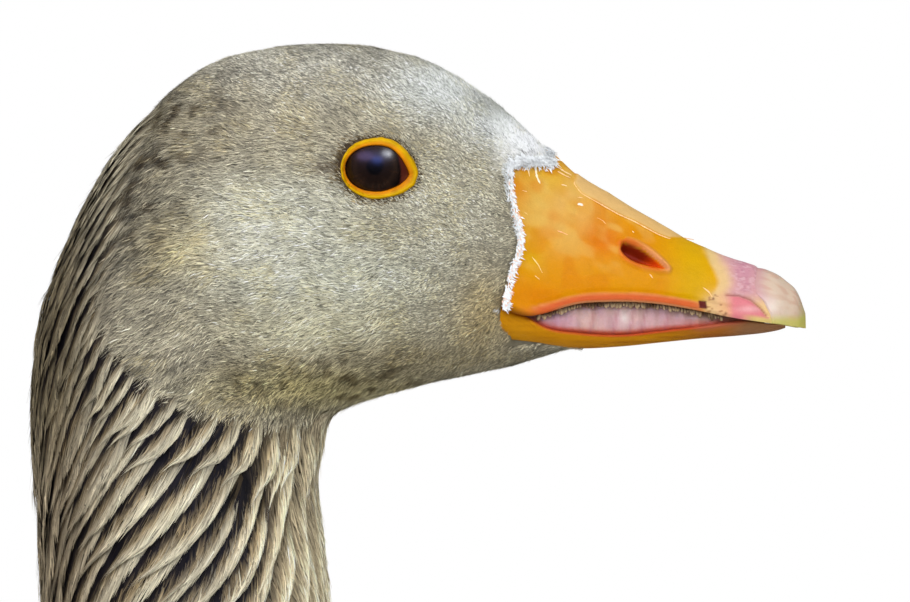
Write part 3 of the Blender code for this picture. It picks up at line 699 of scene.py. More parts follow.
unwrap(skin_mesh)
skin_mesh.calc_loop_triangles()
corner_count = len(skin_mesh.loop_triangles) * 3
skin_corners = np.zeros(corner_count, np.int32)
skin_loops = np.zeros(corner_count, np.int32)
skin_mesh.loop_triangles.foreach_get("vertices", skin_corners)
skin_mesh.loop_triangles.foreach_get("loops", skin_loops)
skin_corners, skin_loops = skin_corners.reshape(-1, 3), skin_loops.reshape(-1, 3)
skin_uv = np.zeros(len(skin_mesh.loops) * 2, np.float32)
skin_mesh.uv_layers["OFBake"].data.foreach_get("uv", skin_uv)
skin_uv = skin_uv.reshape(-1, 2)
skin_normals = normals_of(skin_mesh)
skin_tree = search_tree(skin_points, skin_corners)


def uv_near(points):
    """The places on the unwrap that lie nearest to some points."""
    near = [skin_tree.find_nearest(Vector(p))[2] for p in points]
    return skin_uv[skin_loops[near, 0]]


print("unwrapped", len(skin_corners), "triangles")

# %% [markdown]
# The skin shows wherever feathers part, so it is painted with the marking above it, darkened as
# painted shade between the feathers. Under the locks of the neck this painted shade is nearly
# black-brown, and round the lids and at the bill's root the skin keeps a tone of its own.

# %% Paint the skin
# Painted shade: the skin is darker than its marking, and nearly black-brown under the locks.
SHADE_UNDER_LOCKS = np.array((0.085, 0.066, 0.044))
across, up = skin_points[:, 0], skin_points[:, 2]
shade_under_locks = ramp(-1, 3, past_collar(skin_points)) * ramp(-340, -300, up)
root_of_bill = ramp(-2, 0.5, up) * ramp(23, 27, across)
skin_shade_and_tone = blend((0.45 + 0.5 * root_of_bill)[:, None], SHADE_UNDER_LOCKS, shade_under_locks)
by_lids = in_eye_opening(across, up, lid_width(across, up) + 1.2) & (np.abs(skin_points[:, 1]) > 6)
skin_shade_and_tone = np.where(by_lids[:, None], (0.11, 0.08, 0.05), skin_shade_and_tone)
paint(skin_mesh, markings(skin_points) * skin_shade_and_tone)
SKIN_STUFF = tinted(
    "bare_skin_under_feathers", 0.85, (400.0, 2500.0, 0.3), (3000.0, 600.0, 0.6, 0.0002, 0.5), 0.2
)
piece("goose_skin", skin_mesh, SKIN_STUFF, FLESH)

# %% [markdown]
# ## The lie of the feathers
# Feathers point away from the bill. On the face they fan back from its root. Behind the cheek
# they turn down, on the side of the neck they slant down and back, and on the body they run to
# the tail. One function gives that direction anywhere on the skin.

# %% The flow
FAN_CENTRE = (75.0, -18.0)


def lie(p, n):
    """The direction in which feathers point, at points with normals n."""
    rise = np.arctan2(p[..., 2] - FAN_CENTRE[1], FAN_CENTRE[0] - p[..., 0])
    fan = -np.degrees(rise) + 45 * ramp(-22, -60, p[..., 0])
    middle, half = neck_middle(p)
    across = np.clip((p[..., 0] - middle) / half, -1, 1)
    neck = 47 + 40 * np.maximum(across, 0) ** 1.4 + 24 * np.maximum(-across, 0) ** 2
    on_neck = ramp(-16, 8, past_collar(p))
    down = fan * (1 - on_neck) + neck * on_neck
    on_body = ramp(-280, -350, p[..., 2])
    breast = ramp(0.45, 0.85, n[..., 0])
    down = down * (1 - on_body) + (14 + 62 * breast) * on_body
    down = down + 50 * ramp(-530, -560, p[..., 2])
    down = np.radians(down)
    way = np.stack([-np.cos(down), np.zeros_like(down), -np.sin(down)], axis=-1)
    way = way - n * (way * n).sum(-1, keepdims=True)
    return unit(way)


EVEN_STEPS = np.array((0.7548776662, 0.5698402910))  # these fill a square without clumps


def scatter(density, rng):
    """Roots spread evenly over the skin: their points, normals and places on the unwrap.
    density gives how many roots there are to a square mm at each point."""
    corners = skin_points[skin_corners]
    centre = corners.mean(axis=1)
    area = np.linalg.norm(
        np.cross(corners[:, 1] - corners[:, 0], corners[:, 2] - corners[:, 0]), axis=1
    ) / 2
    wanted = area * density(centre)
    count = np.floor(wanted + rng.random(len(wanted))).astype(int)
    index = np.repeat(np.arange(len(count)), count)
    step = np.arange(len(index)) - np.repeat(np.cumsum(count) - count, count)
    start = rng.random((len(count), 2))[index]
    u, v = ((start + step[:, None] * EVEN_STEPS) % 1).T
    flip = u + v > 1
    u, v = np.where(flip, 1 - u, u), np.where(flip, 1 - v, v)
    share = np.stack([1 - u - v, u, v], axis=1)[:, :, None]
    p = (corners[index] * share).sum(axis=1)
    n = unit((skin_normals[skin_corners[index]] * share).sum(axis=1))
    uv = (skin_uv[skin_loops[index]] * share).sum(axis=1)
    return p, n, uv

# %% [markdown]
# ## The upper bill
# The bill is bone under a thin coat of horn. Its shape is a roof: a table gives the height of
# its ridge and its cutting edge and its half width at each station, and a rounded arch joins
# them. The relief is then worked into the horn: nostril, edge band, the old plate peeling along
# the ridge, and the lobe beside the nail.

# %% The shape of the horn
UPPER = smooth_curve([  # station, ridge, cutting edge, half width
    (20.0, 12.0, -27.6, 14.6), (26.0, 10.4, -29.4, 14.6), (29.0, 9.4, -30.8, 14.6),
    (32.0, 8.2, -31.4, 14.6), (34.5, 6.2, -31.1, 14.5), (37.4, 3.9, -30.3, 14.4),
    (42.4, -0.7, -28.9, 14.0), (48.8, -4.7, -28.4, 13.4), (58.5, -10.5, -28.7, 12.2),
    (68.2, -15.8, -30.2, 10.9), (76.0, -18.9, -31.8, 9.8), (82.0, -21.0, -32.7, 8.9),
    (87.5, -23.9, -33.4, 7.2), (90.5, -27.3, -33.9, 4.6), (91.8, -31.0, -34.1, 1.8),
])
LOWER = smooth_curve([  # station, rim, keel, half width
    (20.0, -28.8, -35.6, 12.6), (25.5, -29.3, -36.8, 14.2), (28.8, -30.7, -37.3, 14.2),
    (31.8, -31.6, -37.6, 13.8), (35.5, -33.6, -37.9, 13.2), (43.4, -35.0, -38.4, 12.2),
    (52.0, -35.4, -38.0, 11.0), (61.0, -34.5, -37.1, 10.0), (70.0, -33.5, -36.2, 8.8),
    (78.0, -32.5, -35.6, 7.4), (84.0, -33.0, -34.9, 5.2), (86.4, -33.2, -34.4, 3.4),
    (87.6, -33.4, -34.0, 1.2),
])


def signed_power(values, power):
    return np.sign(values) * np.abs(values) ** power


ARCH_SIDE = 1.9  # power of the arch's sides: 2 is round, and more is boxy


def arch(x):
    """The arch at each x: its ridge, cutting edge and half width, and the power of its top.
    It swells at the bill's root."""
    ridge_z, edge_z, half = sizes_at(UPPER, x)
    root = np.exp(-(((x - 26) / 7) ** 2))
    return ridge_z, edge_z, half + 1.9 * root, 1.75 + 1.2 * root


def roof(x, angle):
    """The bare arch: angle runs from the right cutting edge over the ridge to the left one."""
    ridge_z, edge_z, half, top = arch(x)
    across = signed_power(np.cos(angle), 2 / ARCH_SIDE) * half
    up = np.sin(angle).clip(0, 1) ** (2 / top)
    return np.stack([x, -across, edge_z + (ridge_z - edge_z) * up], axis=-1)


def roof_side(x, z):
    """How far out the side of the bill lies at each x and z."""
    ridge_z, edge_z, half, top = arch(x)
    up = np.clip((z - edge_z) / (ridge_z - edge_z), 0, 1)
    return half * np.maximum(1 - up**top, 0) ** (1 / ARCH_SIDE)


print("the bill is", 2 * UPPER(50.0)[0, 2].round(1), "mm wide at its middle")

# %% [markdown]
# The relief is what makes horn look like horn. Each part of it is a small function of the place
# on the bill's side: how far a point lies from a drawn line, or how deep inside the nostril.
# All are added up in one height, which pushes the bare arch out or in.

# %% The relief of the horn
def from_line(x, z, line):
    """Distance from a line of joined (x, z) points, and which side: above it is positive."""
    best, above = np.full(np.shape(x), np.inf), np.zeros(np.shape(x))
    for (xa, za), (xb, zb) in zip(line, line[1:]):
        run, rise = xb - xa, zb - za
        t = np.clip(((x - xa) * run + (z - za) * rise) / (run**2 + rise**2), 0, 1)
        far = np.hypot(x - xa - t * run, z - za - t * rise)
        closer = far < best
        best = np.where(closer, far, best)
        above = np.where(closer, np.sign(run * (z - za) - rise * (x - xa)), above)
    return best, above


HORN_TINT = np.array((0.68, 0.71, 0.5))  # shade that bare horn needs beside the coat
PLATE_EDGE = [
    (42.4, -2.0), (42.1, -3.1), (43.6, -5.1), (47.1, -7.1), (51.7, -9.7), (54.9, -11.1),
    (58.0, -12.8), (60.3, -14.0), (62.4, -14.8), (65.5, -14.6), (68.0, -15.0),
]
LOBE_GROOVE = [(74.6, -26.9), (77.3, -27.0), (79.8, -27.9), (81.9, -29.6), (83.3, -31.4)]
NAIL_EDGE = [
    (81.4, -17.5), (81.0, -20.1), (80.4, -22.6), (80.0, -24.5), (80.5, -26.5), (82.2, -28.2),
    (83.6, -31.0), (84.2, -34.5),
]
NOSTRIL_AT, NOSTRIL_TURN = (56.9, -18.6), math.radians(-29.8)
NOSTRIL_REAR, NOSTRIL_FRONT = 5.5, 5.7  # how far the opening reaches each way


def nostril(x, z):
    """How deep inside the nostril a point lies, how far outside it, and its place along and
    across it."""
    dx, dz = x - NOSTRIL_AT[0], z - NOSTRIL_AT[1]
    a = dx * math.cos(NOSTRIL_TURN) + dz * math.sin(NOSTRIL_TURN)
    b = -dx * math.sin(NOSTRIL_TURN) + dz * math.cos(NOSTRIL_TURN)
    t = np.clip((a + NOSTRIL_REAR) / (NOSTRIL_REAR + NOSTRIL_FRONT), 0, 1)
    half = 2.25 * np.sin(np.pi * t**0.62) ** 0.75
    half = half * np.where(b > 0, 0.62, 1.0)
    to_ends = np.minimum(a + NOSTRIL_REAR, NOSTRIL_FRONT - a)
    inside = np.minimum(half - np.abs(b), to_ends)
    outside = np.hypot(np.maximum(np.abs(b) - half, 0), np.maximum(-to_ends, 0))
    return np.maximum(inside, 0), outside, a, b


def nail_back(z):
    line = np.array(NAIL_EDGE)[::-1]
    return np.interp(z, line[:, 1], line[:, 0])


def horn_relief(p):
    """How far the horn stands out from the bare arch, in mm."""
    x, z = p[..., 0], p[..., 2]
    h = z - sizes_at(UPPER, x)[1]
    inside, outside, a, b = nostril(x, z)
    deep = 2.6 - 1.3 * ramp(-1.0, 5.0, a - 0.8 * b)
    relief = -deep * ramp(0, 1.4, inside)
    rim = 0.42 + 0.25 * ramp(0, 5, a) + 0.15 * (b > 0)
    relief = relief + np.where(inside > 0, 0, rim * np.exp(-(((outside - 0.45) / 0.55) ** 2)))
    relief = relief - 0.55 * bump_at(x, z, (48.6, -15.2), (3.6, 3.0))
    far, above = from_line(x, z, PLATE_EDGE)
    plate = ramp(-0.25, 0.12, far * above) * ramp(41.7, 42.5, x) * ramp(68, 62, x)
    relief = relief + 0.34 * plate * np.exp(-np.maximum(far, 0) / 6)
    band = ramp(30, 36, x) * ramp(80, 74, x)
    roll, dip = np.exp(-(((h - 0.75) / 0.72) ** 2)), np.exp(-(((h - 2.15) / 0.5) ** 2))
    relief = relief + band * (0.62 * roll - 0.3 * dip)
    groove, over = from_line(x, z, LOBE_GROOVE)
    relief = relief - 0.38 * np.exp(-((groove / 0.3) ** 2))
    lobe = ramp(0.0, 1.2, -groove * over) * ramp(74, 76, x) * ramp(84, 82.5, x)
    relief = relief + 0.4 * (lobe * ramp(-35, -32.5, z))
    uneven = drift(p, 5.0, 41) - 0.5 + 0.4 * (drift(p, 1.6, 42) - 0.5)
    relief = relief + 0.22 * uneven * ramp(0, 1.2, outside)
    flaky = bump_at(x, z, (72.3, -29.3), (2.0, 1.8))
    relief = relief + 0.3 * flaky * (drift(p, 0.8, 43) - 0.4)
    return relief - 3.5 * ramp(0.0, -2.4, x - feather_line(np.maximum(z, -35), 0) + 0.5)

# %% [markdown]
# Horn is painted in thin glazes, as a model maker would: one ground colour, then a list of
# further colours, each with the share in which it covers the ones below. The order matters, so
# the list reads from the ground up to the last specks.

# %% The colours of the horn
SPECKS = ((71.8, -27.7), (74.4, -30.9), (74.0, -31.4), (63.0, -30.2))  # small dark ones


def yellow_end(z):
    """Where the yellow of the bill gives way to pink, at each height."""
    return 69.7 + 3.0 * np.exp(-(((z + 23.8) / 4.0) ** 2))


def horn_tone(p):
    """Orange horn, yellower ahead, paler along the ridge, then pink, then the nail's cream."""
    x, z = p[..., 0], p[..., 2]
    h = z - sizes_at(UPPER, x)[1]

    def spot(at, size):
        return bump_at(x, z, at, size)

    peach = spot((41, -9), (7.5, 7.5)) * (0.55 + 0.9 * (drift(p, 2.6, 54) - 0.3))
    drawn = np.stack([x / 3.2, p[..., 1] / 3, (z + 0.4 * x) / 1.6], axis=-1)
    cloud = ramp(0.45, 0.8, drift(drawn, 1.0, 55)) * ramp(66, 58, x) * ramp(-26, -14, z)
    deep = ramp(0.5, 0.8, drift(p, 3.4, 58)) * ramp(66, 56, x)
    far, above = from_line(x, z, PLATE_EDGE)
    plate = ramp(-0.1, 0.25, far * above) * ramp(41.7, 42.4, x) * ramp(70, 66, x)
    ahead = x - yellow_end(z) - 0.5 * (drift(p, 1.5, 56) - 0.5)
    low_pink = ramp(0.5, 2.5, ahead) * ramp(-25, -28, z) * ramp(78, 75, x)
    mauve = spot((78.6, -21.5), (3.2, 6.5)) * ramp(1.0, 4.0, ahead)
    lip = ramp(2.3, 1.5, h + 0.35 * (drift(p, 2.2, 52) - 0.5)) * ramp(29, 36, x) * ramp(72, 68, x)
    groove, over = from_line(x, z, LOBE_GROOVE)
    lobe = ramp(0.0, 0.5, -groove * over) * ramp(74.0, 76.5, x) * (z < -26.5)
    flaky = spot((71.6, -29.2), (2.2, 2.4))
    scab = ramp(0.95, 0.75, np.abs(x - 69.35))
    scab = scab * ramp(0.95, 0.75, np.abs(z + 28.9 + 0.15 * (x - 69)))
    inside, outside, a, b = nostril(x, z)
    rim = np.exp(-((outside / 0.8) ** 2)) * (inside <= 0.15)
    rim_pale = ramp(-1.0, 1.0, b + 0.35 * (a - 3.5))
    shade = glazed(p, (238, 154, 2), [
        ((232, 176, 2), ramp(58, 68, x) * 0.9),
        ((240, 184, 30), 0.8 * spot((37, -1.5), (5, 3.5))),
        ((240, 186, 14), 0.7 * spot((33, -17), (2.5, 5))),
        ((238, 150, 2), 0.8 * spot((30.5, -7), (2.2, 6))),
        ((242, 190, 128), 0.85 * peach),
        ((243, 198, 116), 0.6 * spot((33.8, -6.5), (4, 5.5))),
        ((238, 120, 0), 0.9 * spot((48.2, -15.0), (4.2, 3.6))),
        ((238, 140, 14), 0.8 * spot((32, -27), (7, 3.6))),
        ((244, 192, 110), 0.5 * cloud),
        ((234, 132, 0), 0.45 * deep),
        ((246, 197, 148), 0.9 * plate),
        ((240, 206, 150), 0.95 * ramp(-0.6, 1.0, ahead)),
        ((240, 176, 130), 0.6 * low_pink),
        ((228, 178, 176), ramp(1.6, 5.0, ahead) * ramp(-29.5, -26, z)),
        ((204, 142, 168), 0.75 * mauve),
        ((240, 206, 212), 0.55 * (drift(p, 0.6, 51) > 0.62) * mauve),
        ((176, 112, 140), 0.4 * (drift(p, 0.7, 57) > 0.68) * mauve),
        ((228, 100, 62), 0.95 * lip),
        # painted highlight: paler along the top of the lip's roll
        ((244, 158, 112), 0.7 * lip * ramp(1.2, 1.9, h)),
        ((206, 160, 130), 0.6 * ramp(0.55, 0.2, h) * ramp(36, 40, x) * ramp(70, 66, x)),
        # painted shade: darker along the mouth's line at its corner, where the two halves meet
        ((120, 56, 26), 0.8 * ramp(0.35, 0.0, h) * ramp(36, 30, x)),
        ((232, 132, 146), 0.95 * lobe),
        # painted highlight on the lobe
        ((246, 186, 190), 0.8 * lobe * spot((79.5, -30.0), (3.0, 0.7))),
        # painted shade: dark line in the lobe's groove
        ((170, 84, 84), 0.7 * np.exp(-((groove / 0.2) ** 2))),
        ((240, 198, 150), 1.2 * flaky),
        ((176, 116, 80), 0.7 * (flaky > 0.35) * (drift(p, 0.5, 53) > 0.7)),
        ((92, 10, 36), 0.95 * scab),
        *(((110, 34, 34), 0.9 * spot(at, (0.25, 0.3))) for at in SPECKS),
        ((222, 212, 120), 0.8 * ramp(1.5, 0.5, h) * ramp(77, 81, x)),
        ((240, 112, 50), 0.9 * rim * (1 - rim_pale)),
        # painted highlight: the rim is paler on its upper side; below it keeps its own red-orange
        ((246, 160, 126), 0.95 * rim * rim_pale),
    ])
    # Inside the nostril: red-orange, darker at its upper rear and brighter at its lower front, as
    # painted shade and light in the hollow.
    hollow = glazed(p, (150, 40, 18), [((250, 84, 10), ramp(-1.0, 4.5, a - 0.9 * b))])
    return blend(shade, hollow, ramp(0.05, 0.5, inside))


def nail_tone(p):
    """Cream horn with faint streaks, yellow-green along its edge, and a painted highlight."""
    x, z = p[..., 0], p[..., 2]
    streak = drift(np.stack([x / 6, p[..., 1] / 0.8, z / 1.1], axis=-1), 1.0, 61)
    behind = x - nail_back(z)
    low = ramp(-30.6, -32.8, z) + ramp(89.5, 92, x) * ramp(-27, -31, z) * 0.7
    return glazed(p, (236, 212, 192), [
        ((222, 178, 158), 0.6 * ramp(0.45, 0.75, streak)),
        ((216, 160, 176), 0.85 * ramp(4.5, 0.2, behind) * ramp(-31, -27, z)),
        ((228, 178, 176), 0.5 * ramp(2.0, 0.2, behind)),
        # painted highlight on the nail
        ((244, 232, 220), 0.7 * bump_at(x, z, (84.5, -29.5), (2.5, 2.5))),
        ((218, 212, 112), 0.9 * low),
    ])


print("horn at the ridge", horn_tone(np.array([[50.0, 0.0, -6.0]])).round(2))

# %% [markdown]
# The horn is a closed shell: rings of points go over the arch and back along the palate. The
# nail is a second, thicker shell that starts in a curved edge and wraps the tip.

# %% Build the upper bill and its nail
def horn_rings(stations, around, lift, palate=0.7):
    """Rings over the arch and back under it. stations is (rings,) or (rings, around)."""
    angle = np.linspace(0, math.pi, around)
    x = stations[:, None] if stations.ndim == 1 else stations
    x = np.broadcast_to(x, (len(stations), around))
    bare_arch = roof(x, np.broadcast_to(angle, x.shape))
    along, over = np.gradient(bare_arch, axis=0), np.gradient(bare_arch, axis=1)
    out = unit(np.cross(along, over))
    middle = np.stack([x, 0 * x, np.full_like(x, -24.0)], axis=-1)
    out *= np.sign(((bare_arch - middle) * out).sum(-1, keepdims=True).mean())
    arch = bare_arch + out * lift(bare_arch)[..., None]
    left, right = arch[:, -1:], arch[:, :1]
    share = np.linspace(0, 1, 18)[None, 1:-1, None]
    under = left * (1 - share) + right * share
    under[..., 2] += palate * (1 - (2 * share[..., 0] - 1) ** 6) - 0.1
    return np.concatenate([arch, under], axis=1)


def under_nail(p):
    return horn_relief(p) - 0.75 * ramp(0.1, 2.2, p[..., 0] - nail_back(p[..., 2]))


def nail_lift(p):
    behind = p[..., 0] - nail_back(p[..., 2])
    uneven = 0.10 * (drift(p, 3.0, 62) - 0.5)
    sharp = ramp(-25, -28, p[..., 2])
    edge = ramp(-0.05, 0.8, behind) * sharp + ramp(-0.3, 2.6, behind) * (1 - sharp)
    return -0.35 + 0.55 * edge + uneven


stations = np.concatenate([  # closest beside the nostril
    np.arange(21, 50.2, 0.42), np.arange(50.4, 63.6, 0.2), np.arange(63.8, 84, 0.42),
    np.linspace(84.2, 90.9, 15),
])
UPPER_AROUND, NAIL_AROUND = 181, 111
upper_mesh = closed_tube("upper_bill", horn_rings(stations, UPPER_AROUND, under_nail))
unworked = closed_tube(
    "unworked", horn_rings(stations, UPPER_AROUND, lambda p: 0 * p[..., 0])
)
bare_points = points_of(unworked)
pinker = 1 + ramp(68, 74, bare_points[:, :1]) * np.array((0.09, 0.0, 0.34))
paint(upper_mesh, horn_tone(bare_points) * HORN_TINT * pinker)

nail_angles = np.linspace(0, math.pi, NAIL_AROUND)
nail_start = np.full(NAIL_AROUND, 81.0)
for _ in range(12):
    nail_start = nail_back(roof(nail_start, nail_angles)[:, 2]) - 0.1
nail_share = (1 - (1 - np.linspace(0, 1, 60)) ** 1.35)[:, None]
nail_stations = nail_start * (1 - nail_share) + 91.75 * nail_share
nail_mesh = closed_tube("nail", horn_rings(nail_stations, NAIL_AROUND, nail_lift, 0.4))
paint(nail_mesh, nail_tone(points_of(nail_mesh)) * HORN_TINT * (1.0, 0.92, 1.2))

HORN_STUFF = tinted(
    "bill_horn", 0.34, (500.0, 3500.0, 0.10), (3500.0, 500.0, 1.4, 0.00018, 0.55), 0.04
)
NAIL_STUFF = tinted(
    "nail_horn", 0.32, (300.0, 2500.0, 0.06), (2500.0, 500.0, 1.0, 0.00012, 0.4), 0.3,
    (("Subsurface Weight", 0.1), ("Subsurface Scale", 0.001)),
)
piece("upper_bill", upper_mesh, HORN_STUFF, ["bill_upper"])
piece("bill_nail_shell", nail_mesh, NAIL_STUFF, ["bill_nail"])

# %% [markdown]
# Dry flakes of old horn cling to the bill, and some of these pale strips also stand in for small
# glints of light on the wet horn, as painted highlights. Each is a short strip that follows a
# stroke over the side of the bill, raised along its middle. The longest is the lip of the plate
# along the ridge.

# %% Flakes of dry horn and painted glints
# Pale strips: flakes of dry horn, some of them painted highlights that stand for glints.
FLAKES_AND_GLINTS = [  # a stroke of (x, z) points, width, tone
    (PLATE_EDGE, 0.34, (248, 206, 150)),
    ([(32.4, 1.9), (33.8, 0.4), (34.1, -1.6), (34.8, -3.1)], 0.5, (248, 232, 190)),
    ([(31.3, 1.4), (32.3, -0.2), (32.5, -1.6)], 0.26, (248, 224, 170)),
    ([(31.0, -4.6), (32.0, -4.9)], 0.2, (246, 210, 150)),
    ([(30.2, -8.2), (31.6, -9.5), (32.8, -10.2)], 0.3, (248, 214, 150)),
    ([(32.2, -10.3), (32.9, -10.9), (33.3, -11.3)], 0.9, (248, 212, 158)),
    ([(38.0, -13.1), (39.6, -13.6), (40.9, -14.2)], 0.34, (244, 172, 120)),
    ([(39.4, -3.3), (40.0, -3.4), (40.6, -3.6)], 0.4, (250, 222, 170)),
    ([(42.8, -7.5), (43.5, -7.5), (44.0, -7.8)], 0.7, (252, 226, 206)),
    ([(42.5, -5.9), (44.4, -6.2)], 0.2, (248, 206, 150)),
    ([(47.0, -10.4), (48.2, -11.0), (48.9, -11.8)], 0.22, (246, 196, 130)),
    ([(33.0, -18.8), (34.4, -20.6), (35.2, -22.2)], 0.3, (248, 216, 140)),
    ([(33.6, -22.8), (34.6, -23.6)], 0.25, (246, 206, 130)),
    ([(37.6, 1.2), (38.4, 0.7), (40.0, -0.4), (41.6, -1.2)], 0.3, (250, 216, 160)),
    ([(38.6, -0.4), (40.2, -1.3), (41.4, -1.8)], 0.24, (248, 206, 150)),
    ([(58.1, -22.4), (58.8, -23.3)], 0.35, (246, 200, 140)),
    ([(54.5, -13.2), (54.9, -13.6)], 0.3, (248, 220, 170)),
    ([(60.0, -12.4), (62.4, -13.6), (65.0, -14.8)], 0.3, (246, 206, 150)),
    ([(69.6, -25.3), (70.8, -26.2), (71.6, -27.4)], 0.35, (248, 200, 140)),
]


def strip(stroke, width, seed, side):
    """A raised strip along a stroke on the side of the bill: rings of edge, middle, edge."""
    rng = np.random.default_rng(seed)
    line = np.array(stroke, float)
    far = np.concatenate([[0], np.cumsum(np.hypot(*np.diff(line, axis=0).T))])
    at = np.linspace(0, far[-1], max(5, int(far[-1] / 0.35)))
    x = np.interp(at, far, line[:, 0])
    z = np.interp(at, far, line[:, 1])
    way = unit(np.stack([np.gradient(x), np.gradient(z)], axis=-1))
    taper = np.sin(np.linspace(0.12, math.pi - 0.12, len(at))) ** 0.5
    half = width / 2 * taper * rng.uniform(0.45, 1.45, len(at))
    ring = []
    for across, lift in ((-1, -0.1), (-0.4, 0.1), (0.5, 0.14), (1, -0.1)):
        px, pz = x - way[:, 1] * half * across, z + way[:, 0] * half * across
        flat = np.stack([px, 0 * px, pz], axis=-1)
        out = roof_side(px, pz) + horn_relief(flat) + lift * taper
        ring.append(np.stack([px, side * out, pz], axis=-1))
    return np.stack(ring, axis=1)


def make_flakes_and_glints():
    points, faces, tints, start = [], [], [], 0
    for side in (-1, 1):
        for k, (stroke, width, chart) in enumerate(FLAKES_AND_GLINTS):
            made = strip(stroke, width, 70 + k + (side > 0) * 40, side)
            grid = tube_faces(len(made), 4, closed=False) + start
            faces.append(grid if side > 0 else grid[:, ::-1])
            points.append(made.reshape(-1, 3))
            tints.append(np.repeat(tone(*chart)[None], made.shape[0] * 4, axis=0))
            start += made.shape[0] * 4
    return mesh_of("flakes", np.concatenate(points), np.concatenate(faces), np.concatenate(tints))


FLAKE_AND_GLINT_STUFF = tinted("dry_flakes_and_glints", 0.5, (900.0, 4000.0, 0.15))
piece("dry_horn_flakes", make_flakes_and_glints(), FLAKE_AND_GLINT_STUFF)

# %% [markdown]
# ## The lower bill and the mouth
# The lower bill is a shallow scoop with a red rim. Between the two halves the bill never quite
# closes at the side: a pale pink lining shows, under a row of small horny teeth that hang from
# the upper cutting edge and are used to crop grass. The teeth are one small tooth repeated
# along a line by a Geometry Nodes tree.

# %% Lower bill
def lower_tone(p):
    """Ochre horn with streaks, browner ahead, and a red rim."""
    x, z = p[..., 0], p[..., 2]
    down = sizes_at(LOWER, x)[0] - z
    streak = drift(np.stack([x / 9, p[..., 1] / 3, z / 0.5], axis=-1), 1.0, 81)
    return glazed(p, (222, 144, 14), [
        ((190, 112, 10), 0.6 * ramp(0.4, 0.8, streak)),
        ((234, 158, 24), 0.7 * bump_at(x, z, (29, -35), (4, 3))),
        ((176, 96, 50), 0.7 * ramp(62, 72, x)),
        ((166, 118, 96), 0.9 * ramp(72, 80, x)),
        ((206, 70, 50), 0.95 * ramp(0.7, 0.2, down) * ramp(30, 36, x) * ramp(80, 74, x)),
        ((196, 104, 92), 0.8 * ramp(1.6, 0.2, down) * ramp(66, 70, x) * ramp(80, 76, x)),
    ])


def lower_rings():
    x = np.concatenate([np.arange(21, 80, 0.5), np.linspace(80, 87.6, 26)])
    rim_z, keel_z, half = LOWER(x).T
    angle = np.linspace(0, math.pi, 49)
    across = signed_power(np.cos(angle), 0.8)
    down = np.sin(angle).clip(0, 1) ** 0.75
    y = -half[:, None] * across
    z = rim_z[:, None] - (rim_z - keel_z)[:, None] * down
    scoop = np.stack([np.broadcast_to(x[:, None], y.shape), y, z], axis=-1)
    lip = 0.35 * np.exp(-((down - 0.12) ** 2) / 0.02)
    scoop[..., 1] += np.sign(scoop[..., 1]) * lip * ramp(26, 34, scoop[..., 0])
    share = np.linspace(0, 1, 16)[1:-1]
    inner = 1 - np.abs(2 * share - 1) ** 4
    top_y = half[:, None] * (1 - 2 * share)
    top_z = rim_z[:, None] - 0.5 * (rim_z - keel_z)[:, None] * inner
    floor = np.stack([np.broadcast_to(x[:, None], top_y.shape), top_y, top_z], axis=-1)
    return np.concatenate([scoop, floor], axis=1)


lower_mesh = closed_tube("lower_bill", lower_rings())
paint(lower_mesh, lower_tone(points_of(lower_mesh)) * HORN_TINT)
piece("lower_bill", lower_mesh, HORN_STUFF, ["bill_lower"])

# %% [markdown]
# A goose's bill does not shut tight at the side. The lining is one smooth boxy tube that fills
# the inside of the mouth, a millimetre within the horn, so the gap shows soft pink and no hole.

# %% The mouth's lining
def lining_tone(p):
    """Pale pink, bluer behind, redder by the rim, with faint darker upright lines, a painted
    highlight, and painted shade under the teeth.
    """
    x, z = p[..., 0], p[..., 2]
    rim_z, edge_z = sizes_at(LOWER, x)[0], sizes_at(UPPER, x)[1]
    marks = [
        ((176, 100, 110), 0.45 * np.exp(-(((x - at - 0.2 * (z + 32)) / width) ** 2)))
        for at, width in ((51.0, 0.35), (54.4, 0.4), (57.0, 0.3), (46.0, 0.5), (62.0, 0.4))
    ]
    # painted shade in a band just under the upper cutting edge, behind the teeth
    shade_under_teeth = ramp(1.7, 0.4, edge_z - z + 0.5 * (drift(p, 0.8, 92) - 0.5))
    return glazed(p, (214, 176, 166), [
        ((200, 152, 166), 0.5 * ramp(0.4, 0.7, drift(p, 3.0, 91))),
        ((200, 150, 176), 0.6 * ramp(44, 36, x)),
        ((206, 88, 58), 0.9 * ramp(1.5, 0.2, z - rim_z)),
        *marks,
        # painted highlight
        ((240, 226, 222), 0.8 * bump_at(x, z, (52.8, -31.8), (1.0, 1.6))),
        ((104, 72, 44), 0.8 * shade_under_teeth),
    ])


def lining_rings():
    x = np.linspace(27.5, 83, 112)
    edge_z, rim_z = UPPER(x)[:, 1] + 0.9, LOWER(x)[:, 0] - 0.9
    half = np.minimum(UPPER(x)[:, 2], LOWER(x)[:, 2]) - 0.9
    angle = np.linspace(0, 2 * math.pi, 64, endpoint=False)
    y = half[:, None] * signed_power(np.cos(angle), 2 / 5.0)
    y = y * (1 - 0.02 * np.sin(x * 1.9)[:, None])
    middle, reach = (edge_z + rim_z) / 2, (edge_z - rim_z) / 2
    z = middle[:, None] + reach[:, None] * signed_power(np.sin(angle), 2 / 5.0)
    return np.stack([np.broadcast_to(x[:, None], y.shape), y, z], axis=-1)


lining_mesh = closed_tube("lining", lining_rings())
paint(lining_mesh, lining_tone(points_of(lining_mesh)) * 0.86)
MOUTH_STUFF = tinted(
    "mouth_lining", 0.28, (600.0, 3000.0, 0.12), (2500.0, 700.0, 1.2, 0.0002, 0.5), 0.5,
    (
        ("Coat Weight", 0.2), ("Coat Roughness", 0.15),
        ("Subsurface Weight", 0.1), ("Subsurface Scale", 0.001),
    ),
)
piece("mouth_lining", lining_mesh, MOUTH_STUFF, ["tongue"])

# %% [markdown]
# The teeth are alike and stand in a row, which is what Geometry Nodes do well. The tree takes
# a line of edges, steps along it at an even spacing, and sets one shape at each step, with its
# size and its tilt a little at random from a fixed seed.

